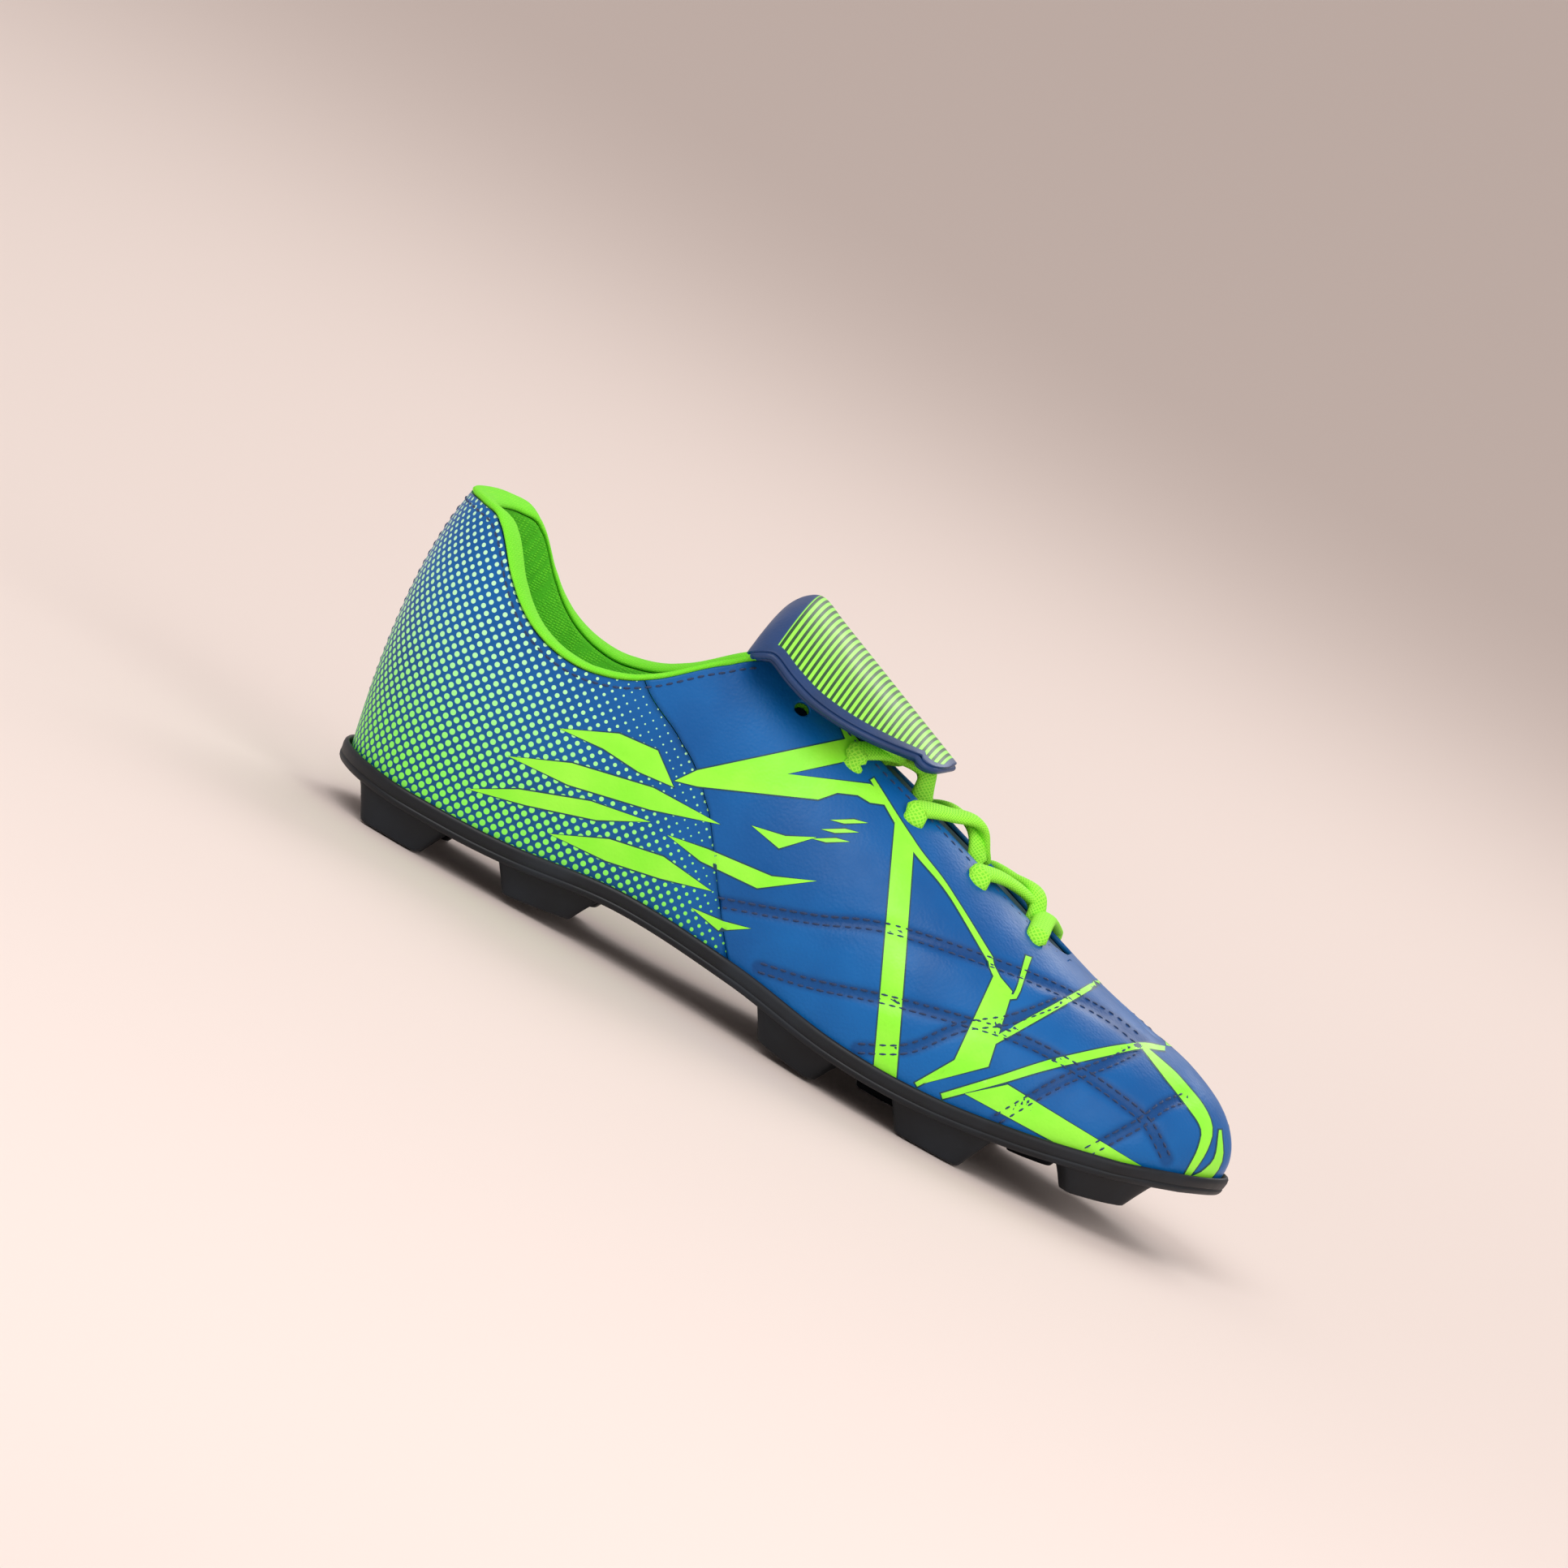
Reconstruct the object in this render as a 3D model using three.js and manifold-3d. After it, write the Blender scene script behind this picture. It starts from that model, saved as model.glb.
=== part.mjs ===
// Right soccer cleat: cemented boot on one moulded outsole, with a fold-over tongue. Millimetres, +X toe,
// +Y medial side, +Z up. The ground is at z = 0, where the heel pair and the ball pair of studs stand.
import * as THREE from "three";
import { mergeVertices } from "three/addons/utils/BufferGeometryUtils.js";
import Module from "manifold-3d";

const wasm = await Module();
wasm.setup();

// Overall sizes
const LENGTH = 290.8; // heel to toe
const WIDTH = 96; // across the ball
const LAST_HEIGHT = 100; // scale of every height of the upper above the sole

// Walls and clearances
const CLEAR = 0.3; // between pieces that touch
const SEAT_CLEAR = 0.5; // between the upper's lower edge and the plate
const LIP_CLEAR = 1; // between the upper and the outsole's lip
const SKIN = 1.2; // synthetic leather
const FOAM = 1.2; // middle layer: foams, puff, counter and reinforcement
const LINING = 0.8;
const COLLAR_PAD = 4.5; // how much thicker the collar foam gets near the topline
const COLLAR_PAD_DEPTH = 34; // how far below the topline the padding starts
const BINDING = 2; // height of the topline binding
const BINDING_CLEAR = 0.7; // under the binding, which bridges straight from station to station
const BOARD = 2; // insole board
const FOOTBED = 4.5;
const FOOTBED_COVER = 0.8;
const TONGUE_FOAM = 2.6;
const TONGUE_SKIN = 0.9;
const FLAP_FOAM = 0.9;
const FLAP_LENGTH = 61.5; // crest to tip
const FLAP_HALF_WIDTH = 36;
const LACE = 2.9; // diameter where the lace is squeezed in its holes
const EYELET = LACE + 4.5; // hole diameter
const RIM = 3; // the outsole's lip above the feather line
const LIP = 1.5; // thickness of the lip
const PLATE = 2.5; // outsole plate
const PLATE_FLARE = 1.2; // how far the underside draws in from the lip
const STUD_SINK = 1.2; // how far a stud's root is buried in the plate
const STUD_TAPER = 0.66; // stud tip size as a share of its root, along and across

// Depths below the outside of the upper
const FOAM_TOP = SKIN + CLEAR;
const LINING_TOP = FOAM_TOP + FOAM + CLEAR;
const LINING_UNDER = LINING_TOP + LINING;
const TONGUE_TOP = LINING_UNDER + CLEAR + LACE + 4 * CLEAR; // the tongue passes under lace and eyestay

// The last is drawn at these sizes and scaled to the overall ones.
const DRAWN = { length: 290.8, width: 96, height: 100 };
const sx = LENGTH / DRAWN.length;
const sy = WIDTH / DRAWN.width;
const sz = LAST_HEIGHT / DRAWN.height;

// Upper face of the outsole plate along the boot: [x, z]
const SOLE_LINE = [
  [0, 14.2], [17, 13.1], [32, 12.6], [62, 13.4], [100, 17.5], [140, 16], [175, 12.2],
  [205, 12.4], [235, 15.8], [262, 20.3], [280, 24.3], [292, 26.6],
];
// Height of the topline along the boot: [x, z]
const TOPLINE = [
  [0, 99], [8, 99.5], [16, 97.5], [29, 84.5], [39, 77], [50, 73.5], [62, 73.8], [76, 79.5], [94, 94], [106, 101.5],
];
// Sections from the heel to the toe: outline x, lateral y, medial y, spine x, y, z, squareness, bulge
const SECTIONS = [
  [6, 0, 0, 38, 0, 135, 0.88, 12.6],
  [8.5, -14, 14, 38, 0, 135, 0.86, 11.4],
  [17, -25, 25, 39, 0, 134, 0.8, 9],
  [32, -31.5, 31, 46, 0, 131, 0.75, 6.6],
  [62, -32, 30, 68, 0, 123, 0.78, 4.6],
  [100, -31, 25, 101, 0.5, 110.5, 0.95, 3.8],
  [140, -37, 30, 139, 1, 93, 1.14, 3.2],
  [175, -45, 41, 170, 2, 81.5, 1.2, 3.2],
  [205, -47.5, 45, 198, 3, 70.5, 1.12, 3],
  [235, -42.5, 42.5, 224, 4, 61.3, 1.1, 3],
  [262, -30, 34.5, 243, 5, 56.5, 1.2, 3],
  [279, -13, 23, 249, 5, 54.8, 1.25, 3.2],
  [287, 6, 6, 250, 5, 54.5, 1.3, 3.4],
];
const TOE = SECTIONS.length - 1;

// Seams and openings on the last, as x on the boot
const SEAM_TOP_X = 79;
const SEAM_SOLE_X = 138;
const CORNER_X = 106; // where the collar meets the throat
const THROAT_END_X = 218;
// Half width of the throat along the boot: [x, half width]
const THROAT = [[106, 17.4], [111, 14.2], [119, 12.2], [145, 11.4], [175, 10.8], [208, 9.5]];
const THROAT_HALF_END = THROAT[THROAT.length - 1][1];
const EYELET_X = [118, 138, 160, 184, 206];
const EYELET_EDGE = 7.5; // from the throat's edge to the middle of an eyelet

function catmull(a, b, c, d, t) {
  const t2 = t * t;
  return 0.5 * (2 * b + (c - a) * t + (2 * a - 5 * b + 4 * c - d) * t2 + (3 * b - a - 3 * c + d) * t2 * t);
}

// Smooth curve through [x, value] points, held flat past both ends
function along(points, x) {
  const last = points.length - 1;
  if (x <= points[0][0]) return points[0][1];
  if (x >= points[last][0]) return points[last][1];
  let i = 0;
  while (points[i + 1][0] < x) i += 1;
  const t = (x - points[i][0]) / (points[i + 1][0] - points[i][0]);
  const before = points[Math.max(i - 1, 0)][1];
  const after = points[Math.min(i + 2, last)][1];
  return catmull(before, points[i][1], points[i + 1][1], after, t);
}

const soleZ = (x) => along(SOLE_LINE, x / sx);
const upperZ = (z) => SOLE_LINE[0][1] + (z - SOLE_LINE[0][1]) * sz;
const toplineZ = (x) => upperZ(along(TOPLINE, x / sx));

// One value of the sections at a station, on the closed loop lateral heel - toe - medial heel
function channel(side, station, read) {
  const at = (i) => {
    const wrapped = i < 0 || i > TOE ? -side : side;
    const k = i < 0 ? -i : i > TOE ? 2 * TOE - i : i;
    return read(SECTIONS[k], wrapped);
  };
  const i = Math.min(Math.floor(station), TOE - 1);
  return catmull(at(i - 1), at(i), at(i + 1), at(i + 2), station - i);
}

// side is -1 lateral, +1 medial
function section(side, station) {
  const x = channel(side, station, (s) => s[0]) * sx;
  const y = channel(side, station, (s, w) => (w < 0 ? s[1] : s[2])) * sy;
  const spineX = channel(side, station, (s) => s[3]) * sx;
  const spineY = channel(side, station, (s) => s[4]) * sy;
  const spineZ = upperZ(channel(side, station, (s) => s[5]));
  const run = Math.hypot(x - spineX, y - spineY);
  return {
    x: spineX, y: spineY, run, dx: (x - spineX) / run, dy: (y - spineY) / run,
    low: soleZ(x), high: spineZ,
    power: channel(side, station, (s) => s[6]), bulge: channel(side, station, (s) => s[7]),
  };
}

const UP = Math.PI / 2;
const isSpine = (angle) => angle > UP - 1e-6;

// Distance from the spine, height, and outward normal of a section at an angle
function sectionPoint(s, angle) {
  if (isSpine(angle)) return { r: 0, z: s.high, nr: 0, nz: 1 };
  const r = s.run * Math.cos(angle) ** s.power + s.bulge * Math.sin(2 * angle);
  const z = s.low + (s.high - s.low) * Math.sin(angle);
  const dr = 2 * s.bulge * Math.cos(2 * angle)
    - s.run * s.power * Math.cos(angle) ** (s.power - 1) * Math.sin(angle);
  const dz = (s.high - s.low) * Math.cos(angle);
  const size = Math.hypot(dr, dz);
  return { r, z, nr: dz / size, nz: -dr / size, size };
}

// A point of the upper, depth below its outside
function onLast(side, station, angle, depth) {
  const s = section(side, station);
  const p = sectionPoint(s, angle);
  const r = p.r - depth * p.nr;
  return new THREE.Vector3(s.x + s.dx * r, s.y + s.dy * r, p.z - depth * p.nz);
}

function bisect(low, high, test) {
  let a = low;
  let b = high;
  for (let i = 0; i < 40; i += 1) {
    const middle = (a + b) / 2;
    if (test(middle)) b = middle;
    else a = middle;
  }
  return (a + b) / 2;
}

const stationOfSpine = (x) => bisect(0, TOE, (t) => section(-1, t).x > x * sx);
const stationOfFeather = (x) => bisect(0, TOE, (t) => onLast(-1, t, 0, 0).x > x * sx);
const angleAtHeight = (s, z) => Math.asin(Math.min((z - s.low) / (s.high - s.low), 1));
const CORNER = stationOfSpine(CORNER_X);
const THROAT_END = stationOfSpine(THROAT_END_X);
const SEAM_TOP = stationOfSpine(SEAM_TOP_X);
const SEAM_SOLE = stationOfFeather(SEAM_SOLE_X);

// Angle of the collar's edge, drop below the topline
function collarAngle(side, station, drop) {
  return bisect(0.2, 1.45, (a) => {
    const p = onLast(side, station, a, 0);
    return p.z > toplineZ(p.x) - drop;
  });
}

const angleAtHalfWidth = (side, station, half) => bisect(0.3, UP, (a) => {
  const s = section(side, station);
  return sectionPoint(s, a).r < half;
});

// Half width of the throat, round at its front end
function throatHalf(side, station) {
  const x = section(side, station).x / sx;
  const round = THROAT_HALF_END;
  const straight = THROAT_END_X - round;
  if (x < straight) return along(THROAT, x) * sy;
  const t = (x - straight) / round;
  return THROAT_HALF_END * sy * Math.sqrt(Math.max(1 - t * t, 0));
}

// Upper edge of the shell at a station: collar, then throat, then the spine
function topAngle(side, station, inset = 0) {
  if (station < CORNER) return collarAngle(side, station, BINDING + BINDING_CLEAR + inset);
  if (station > THROAT_END - 1e-6 && inset === 0) return UP;
  if (station > THROAT_END - 1e-6) return angleAtHalfWidth(side, station, Math.min(inset, 4));
  return angleAtHalfWidth(side, station, throatHalf(side, station) + inset);
}

const range = (n) => Array.from({ length: n + 1 }, (_, i) => i / n);
const mix = (a, b, t) => a + (b - a) * t;

// Triangles of a closed body from quads, without the ones that fold to nothing
class Body {
  constructor() {
    this.points = [];
  }

  triangle(a, b, c) {
    const close = 1e-3;
    if (a.distanceTo(b) < close || b.distanceTo(c) < close || c.distanceTo(a) < close) return;
    this.points.push(a, b, c);
  }

  quad(a, b, c, d) {
    this.triangle(a, b, c);
    this.triangle(a, c, d);
  }

  // The same two triangles facing the other way
  turned(a, b, c, d) {
    this.triangle(a, c, b);
    this.triangle(a, d, c);
  }

  // A wall sheet between an outer and an inner grid. open(i, j, k, l) tells which rim stays unwalled.
  sheet(outer, inner, joined, flip) {
    const put = (a, b, c, d) => (flip ? this.turned(a, b, c, d) : this.quad(a, b, c, d));
    const back = (a, b, c, d) => (flip ? this.quad(a, b, c, d) : this.turned(a, b, c, d));
    const rows = outer.length - 1;
    const columns = outer[0].length - 1;
    for (let i = 0; i < rows; i += 1) {
      for (let j = 0; j < columns; j += 1) {
        put(outer[i][j], outer[i + 1][j], outer[i + 1][j + 1], outer[i][j + 1]);
        back(inner[i][j], inner[i + 1][j], inner[i + 1][j + 1], inner[i][j + 1]);
      }
    }
    const wall = (i, j, k, l) => {
      if (!joined(i, j, k, l)) put(outer[k][l], outer[i][j], inner[i][j], inner[k][l]);
    };
    for (let i = 0; i < rows; i += 1) {
      wall(i, 0, i + 1, 0);
      wall(i + 1, columns, i, columns);
    }
    for (let j = 0; j < columns; j += 1) {
      wall(0, j + 1, 0, j);
      wall(rows, j, rows, j + 1);
    }
  }

  geometry() {
    const raw = new THREE.BufferGeometry().setFromPoints(this.points);
    return raw;
  }

  solid() {
    return toSolid(this.geometry());
  }
}

function toSolid(geometry) {
  const bare = geometry.index ? geometry.toNonIndexed() : geometry.clone();
  bare.deleteAttribute("normal");
  bare.deleteAttribute("uv");
  const merged = mergeVertices(bare, 1e-3);
  const at = merged.attributes.position;
  const triangles = [];
  for (let i = 0; i < merged.index.count; i += 3) {
    const [a, b, c] = [0, 1, 2].map((k) => merged.index.getX(i + k));
    if (a !== b && b !== c && c !== a) triangles.push(a, b, c);
  }
  const make = (list) => new wasm.Manifold(new wasm.Mesh({
    numProp: 3,
    vertProperties: Float32Array.from(at.array),
    triVerts: Uint32Array.from(list),
  }));
  const made = make(triangles);
  return made.volume() < 0 ? make(triangles.reverse()) : made;
}

const MATERIALS = {
  upper: { color: 0x1b66a6, roughness: 0.42, metalness: 0 },
  lime: { color: 0x8ff52a, roughness: 0.7, metalness: 0 },
  lining: { color: 0x5fd628, roughness: 0.9, metalness: 0 },
  foam: { color: 0x6d7479, roughness: 0.95, metalness: 0 },
  board: { color: 0xb8b2a2, roughness: 0.9, metalness: 0 },
  stiffener: { color: 0xd8d5cc, roughness: 0.7, metalness: 0 },
  sole: { color: 0x26292e, roughness: 0.5, metalness: 0 },
  aglet: { color: 0x9dff3c, roughness: 0.25, metalness: 0 },
};

const boot = new THREE.Group();

function addMesh(name, solid, material) {
  const mesh = solid.getMesh();
  const position = new Float32Array(mesh.numVert * 3);
  for (let i = 0; i < mesh.numVert; i += 1) {
    for (let k = 0; k < 3; k += 1) position[i * 3 + k] = mesh.vertProperties[i * mesh.numProp + k];
  }
  const geometry = new THREE.BufferGeometry();
  geometry.setAttribute("position", new THREE.BufferAttribute(position, 3));
  geometry.setIndex(new THREE.BufferAttribute(Uint32Array.from(mesh.triVerts), 1));
  geometry.computeVertexNormals();
  const piece = new THREE.Mesh(geometry, new THREE.MeshStandardMaterial(MATERIALS[material]));
  piece.name = name;
  boot.add(piece);
}

// A panel of the shell: on each side a grid over stations and angles, joined where the grids meet.
// start(v) and end(v) give the station range at height share v, low and high the angle range.
function panel({ sides, us, vs, start, end, low, high, top, under, joinHeel, joinToe }) {
  const body = new Body();
  for (const side of sides) {
    const grid = us.map((u) => vs.map((v) => {
      const station = mix(start(v), end(v), u);
      const angle = mix(low(side, station), high(side, station), v);
      return { side, station, angle };
    }));
    const place = (depth) => grid.map((row) => row.map((g) => {
      return onLast(g.side, g.station, g.angle, depth(g.side, g.station, g.angle));
    }));
    const joined = (i, j, k, l) => {
      const both = [grid[i][j], grid[k][l]];
      const heel = joinHeel && both.every((g) => g.station < 1e-6);
      const toe = joinToe && both.every((g) => g.station > TOE - 1e-6);
      return heel || toe || both.every((g) => isSpine(g.angle));
    };
    body.sheet(place(top), place(under), joined, side > 0);
  }
  return body.solid();
}

// Column shares that land on wanted stations along the top edge
const columns = (from, to, wanted) => {
  const inside = wanted.filter((t) => t > from + 0.05 && t < to - 0.05);
  return [from, ...inside, to].map((t) => (t - from) / (to - from));
};
const THROAT_ROUND = [0.5, 0.8, 0.96, 1].map((t) => {
  return stationOfSpine(THROAT_END_X - THROAT_HALF_END * (1 - t));
});
const STATIONS = [
  0.4, 0.8, 1.2, 1.7, 2.3, 3, 3.35, 3.7, 4.05, 4.4, CORNER, 5.8, 6.5, 7.2, 8, ...THROAT_ROUND,
  9.3, 10, 10.5, 11, 11.5,
].sort((a, b) => a - b);
const HEIGHTS = [0, 0.06, 0.14, 0.29, 0.47, 0.64, 0.77, 0.89, 1];

const SEAM_BOW = 0.42; // how much the quarter's front edge bows to the heel
const seam = (v) => mix(SEAM_SOLE, SEAM_TOP, v * (1 + SEAM_BOW * (1 - v)));
const SEAM_GAP = 0.02; // in stations, about half a millimetre
const constant = (value) => () => value;
const bottom = constant(0);

// How much the collar is padded at an angle
function padding(side, station, angle) {
  const p = onLast(side, station, angle, 0);
  const drop = toplineZ(p.x) - p.z;
  const t = Math.min(Math.max(1 - drop / COLLAR_PAD_DEPTH, 0), 1);
  const fade = Math.min(Math.max(CORNER - 0.3 - station, 0), 1);
  return COLLAR_PAD * fade * Math.sin((Math.min(t * 1.35, 1) * Math.PI) / 2);
}

function eyeletHoles() {
  const holes = [];
  for (const side of [-1, 1]) {
    for (const x of EYELET_X) {
      const station = stationOfSpine(x);
      const angle = angleAtHalfWidth(side, station, throatHalf(side, station) + EYELET_EDGE);
      const outside = onLast(side, station, angle, -2);
      const inside = onLast(side, station, angle, LINING_UNDER + 2);
      const length = outside.distanceTo(inside);
      const hole = new THREE.CylinderGeometry(EYELET / 2, EYELET / 2, length, 8);
      const turn = new THREE.Quaternion().setFromUnitVectors(
        new THREE.Vector3(0, 1, 0),
        outside.clone().sub(inside).normalize(),
      );
      hole.applyQuaternion(turn);
      const middle = outside.clone().add(inside).multiplyScalar(0.5);
      hole.translate(middle.x, middle.y, middle.z);
      holes.push(toSolid(hole));
    }
  }
  return holes;
}
const HOLES = eyeletHoles();
const punched = (solid) => HOLES.reduce((left, hole) => left.subtract(hole), solid);

function addUpper() {
  const vamp = panel({
    sides: [-1, 1], us: VAMP_COLUMNS, vs: HEIGHTS,
    start: (v) => seam(v) + SEAM_GAP, end: constant(TOE), low: bottom, high: topAngle,
    top: constant(0), under: constant(SKIN), joinToe: true,
  });
  addMesh("vamp", punched(vamp), "upper");
  for (const [name, side] of [["quarter_lateral", -1], ["quarter_medial", 1]]) {
    const quarter = panel({
      sides: [side], us: [SEAM_GAP / 5, ...QUARTER_COLUMNS.slice(1)], vs: HEIGHTS,
      start: constant(0), end: (v) => seam(v) - SEAM_GAP, low: bottom, high: topAngle,
      top: constant(0), under: constant(SKIN),
    });
    addMesh(name, quarter, "upper");
  }
}

// Shares of the lattice where one middle layer ends and the next starts
const MIDDLE = { sole: 0.03, foamEnd: 10, puff: 10.5, counter: 3.7, counterTop: 0.64, eyestay: 0.77, gap: 0.012 };
const rowsBetween = (low, high) => [low, ...HEIGHTS.filter((v) => v > low + 0.02 && v < high - 0.02), high];
const VAMP_COLUMNS = columns(SEAM_TOP + SEAM_GAP, TOE, STATIONS);
const QUARTER_COLUMNS = columns(0, SEAM_TOP, STATIONS);

function columnsBetween(all, from, to) {
  return [from, ...all.filter((u) => u > from + 0.004 && u < to - 0.004), to];
}

const vampShare = (station) => (station - SEAM_TOP - SEAM_GAP) / (TOE - SEAM_TOP - SEAM_GAP);

function addMiddleLayer() {
  const layer = { low: bottom, high: topAngle, top: constant(FOAM_TOP), under: constant(FOAM_TOP + FOAM) };
  const vamp = { ...layer, start: (v) => seam(v) + SEAM_GAP, end: constant(TOE) };
  const quarter = { ...layer, start: constant(0), end: (v) => seam(v) - SEAM_GAP };
  const { sole, foamEnd, puff, counter, counterTop, eyestay, gap } = MIDDLE;
  const throat = [vampShare(CORNER), vampShare(THROAT_ROUND[1])];
  for (const [hand, side] of [["lateral", -1], ["medial", 1]]) {
    const strip = panel({
      ...vamp, sides: [side], us: columnsBetween(VAMP_COLUMNS, ...throat), vs: rowsBetween(eyestay + gap, 1),
    });
    addMesh("eyestay_reinforcement_" + hand, punched(strip), "stiffener");
    const foam = panel({
      ...vamp, sides: [side], us: columnsBetween(VAMP_COLUMNS, 0, vampShare(foamEnd)),
      vs: rowsBetween(sole, eyestay - gap),
    });
    addMesh("vamp_foam_" + hand, punched(foam), "foam");
  }
  const toe = panel({
    ...vamp, sides: [-1, 1], us: columnsBetween(VAMP_COLUMNS, vampShare(puff), 1),
    vs: rowsBetween(sole, 0.89), joinToe: true,
  });
  addMesh("toe_puff", toe, "stiffener");
  const heel = panel({
    ...quarter, sides: [-1, 1], us: columnsBetween(QUARTER_COLUMNS, 0, counter / SEAM_TOP),
    vs: rowsBetween(sole, counterTop - gap), joinHeel: true,
  });
  addMesh("heel_counter", heel, "stiffener");
  const collar = panel({
    ...quarter, sides: [-1, 1], us: QUARTER_COLUMNS, vs: rowsBetween(counterTop + gap, 1), joinHeel: true,
    under: (side, station, angle) => FOAM_TOP + FOAM + padding(side, station, angle),
  });
  addMesh("collar_foam", collar, "foam");
}

function addLinings() {
  const vs = [0.012, ...HEIGHTS.slice(1)];
  const vampLining = panel({
    sides: [-1, 1], us: VAMP_COLUMNS, vs,
    start: (v) => seam(v) + SEAM_GAP, end: constant(TOE), low: bottom, high: topAngle,
    top: constant(LINING_TOP), under: constant(LINING_UNDER), joinToe: true,
  });
  addMesh("vamp_lining", punched(vampLining), "lining");
  const quarterLining = panel({
    sides: [-1, 1], us: QUARTER_COLUMNS, vs, start: constant(0),
    end: (v) => seam(v) - SEAM_GAP, low: bottom, high: topAngle, joinHeel: true,
    top: (side, station, angle) => LINING_TOP + padding(side, station, angle),
    under: (side, station, angle) => LINING_UNDER + padding(side, station, angle),
  });
  addMesh("quarter_lining", quarterLining, "lining");
}

const BINDING_END = CORNER - 0.06;

// A bar on the edge of the collar that caps skin, foam and lining
function addBinding() {
  const body = new Body();
  for (const side of [-1, 1]) {
    const outer = [];
    const inner = [];
    for (const u of columns(0, BINDING_END, STATIONS)) {
      const station = u * BINDING_END;
      const low = collarAngle(side, station, BINDING);
      const high = collarAngle(side, station, 0);
      const pad = padding(side, station, low);
      outer.push([onLast(side, station, low, 0), onLast(side, station, high, 0.8)]);
      inner.push([
        onLast(side, station, low, LINING_UNDER + pad),
        onLast(side, station, high, LINING_UNDER + pad - 0.8),
      ]);
    }
    const last = outer.length - 1;
    body.sheet(outer, inner, (i, j, k) => i === 0 && k === 0 && last > 0, side > 0);
  }
  addMesh("topline_binding", body.solid(), "lime");
}

// A level piece in the bottom of the boot: rows from the edge to the spine on both sides
function bottomPiece(from, to, edgeDepth, rise, thickness) {
  const body = new Body();
  const stations = STATIONS.filter((t) => t > from && t < to);
  const all = [from, ...stations, to];
  const shares = [1, 0.55, 0];
  const spot = (side, station, share, lift) => {
    const s = section(side, station);
    const reach = (s.run - edgeDepth) * share;
    const x = s.x + s.dx * reach;
    return new THREE.Vector3(x, s.y + s.dy * reach, soleZ(x) + lift);
  };
  for (const side of [-1, 1]) {
    const sheet = (lift) => all.map((t) => shares.map((share) => spot(side, t, share, lift)));
    const joined = (i, j, k, l) => {
      const middle = j === shares.length - 1 && l === shares.length - 1;
      const ends = i === k && ((i === 0 && from === 0) || (i === all.length - 1 && to === TOE));
      return middle || ends;
    };
    body.sheet(sheet(rise + thickness), sheet(rise), joined, side > 0);
  }
  return body.solid();
}

const BOARD_RISE = CLEAR;
const FOOTBED_RISE = BOARD_RISE + BOARD + CLEAR;
const COVER_RISE = FOOTBED_RISE + FOOTBED + CLEAR;

function addBottom() {
  const inside = LINING_UNDER + 2 * CLEAR;
  addMesh("insole_board", bottomPiece(0, TOE, inside, BOARD_RISE, BOARD), "board");
  addMesh("footbed", bottomPiece(0, TOE, inside + 0.4, FOOTBED_RISE, FOOTBED), "foam");
  addMesh("footbed_cover", bottomPiece(0, TOE, inside + 0.4, COVER_RISE, FOOTBED_COVER), "lining");
}

// Studs: middle x, y, turn in degrees, root length and width, height below the plate, flat on the ground
const STUDS = [
  [31, -23, -7, 29, 13, 0, true],
  [78, -23.5, 3, 31, 12, 9.2, false],
  [164, -34.5, -12, 29, 12, 9, false],
  [212, -38.5, 3, 31, 13, 0, true],
  [259, -24, 33, 28, 12, 8.2, false],
  [31, 23, 7, 29, 13, 0, true],
  [78, 22, -3, 31, 12, 9.2, false],
  [168, 30, 17, 29, 12, 9, false],
  [213, 37, 0, 31, 13, 0, true],
  [257, 28, -28, 28, 12, 8.2, false],
  [190, -2, 0, 22, 12, 8.4, false],
  [236, 3, 0, 20, 12, 7, false],
];
const RIB_Y = [-9, 8];
const RIB = { from: 96, to: 160, width: 3.2, height: 2.4 };

// A blade with rounded ends, from its root inside the plate to its tip
function stud([x, y, degrees, long, wide, height, flat]) {
  const body = new Body();
  const turn = THREE.MathUtils.degToRad(degrees);
  const around = 12;
  const power = 0.55;
  const level = (share, drop) => Array.from({ length: around + 1 }, (_, k) => {
    const a = (2 * Math.PI * k) / around;
    const round = (v) => Math.sign(v) * Math.abs(v) ** power;
    const px = (round(Math.cos(a)) * long * share) / 2;
    const py = (round(Math.sin(a)) * wide * share) / 2;
    const wx = x * sx + px * Math.cos(turn) - py * Math.sin(turn);
    const wy = y * sy + px * Math.sin(turn) + py * Math.cos(turn);
    return new THREE.Vector3(wx, wy, drop(wx));
  });
  const root = level(1, (wx) => soleZ(wx) - CLEAR - STUD_SINK);
  const tip = level(STUD_TAPER, (wx) => (flat ? 0 : soleZ(wx) - CLEAR - PLATE - height));
  const middle = (ring) => ring.slice(1).reduce((sum, p) => sum.add(p), new THREE.Vector3())
    .multiplyScalar(1 / around);
  const top = middle(root);
  const end = middle(tip);
  for (let k = 0; k < around; k += 1) {
    body.quad(root[k], tip[k], tip[k + 1], root[k + 1]);
    body.triangle(root[k], root[k + 1], top);
    body.triangle(tip[k + 1], tip[k], end);
  }
  return body.solid();
}

function rib(y) {
  const body = new Body();
  const top = [];
  const under = [];
  for (const u of range(8)) {
    const x = mix(RIB.from, RIB.to, u) * sx;
    const base = soleZ(x) - CLEAR;
    const drop = RIB.height * Math.sin(Math.PI * Math.min(Math.max(u, 0.08), 0.92));
    const across = [-RIB.width / 2, RIB.width / 2];
    top.push(across.map((w) => new THREE.Vector3(x, y * sy + w, base - STUD_SINK)));
    under.push(across.map((w) => new THREE.Vector3(x, y * sy + w * 0.6, base - PLATE - drop)));
  }
  body.sheet(top, under, constant(false), false);
  return body.solid();
}

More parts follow.
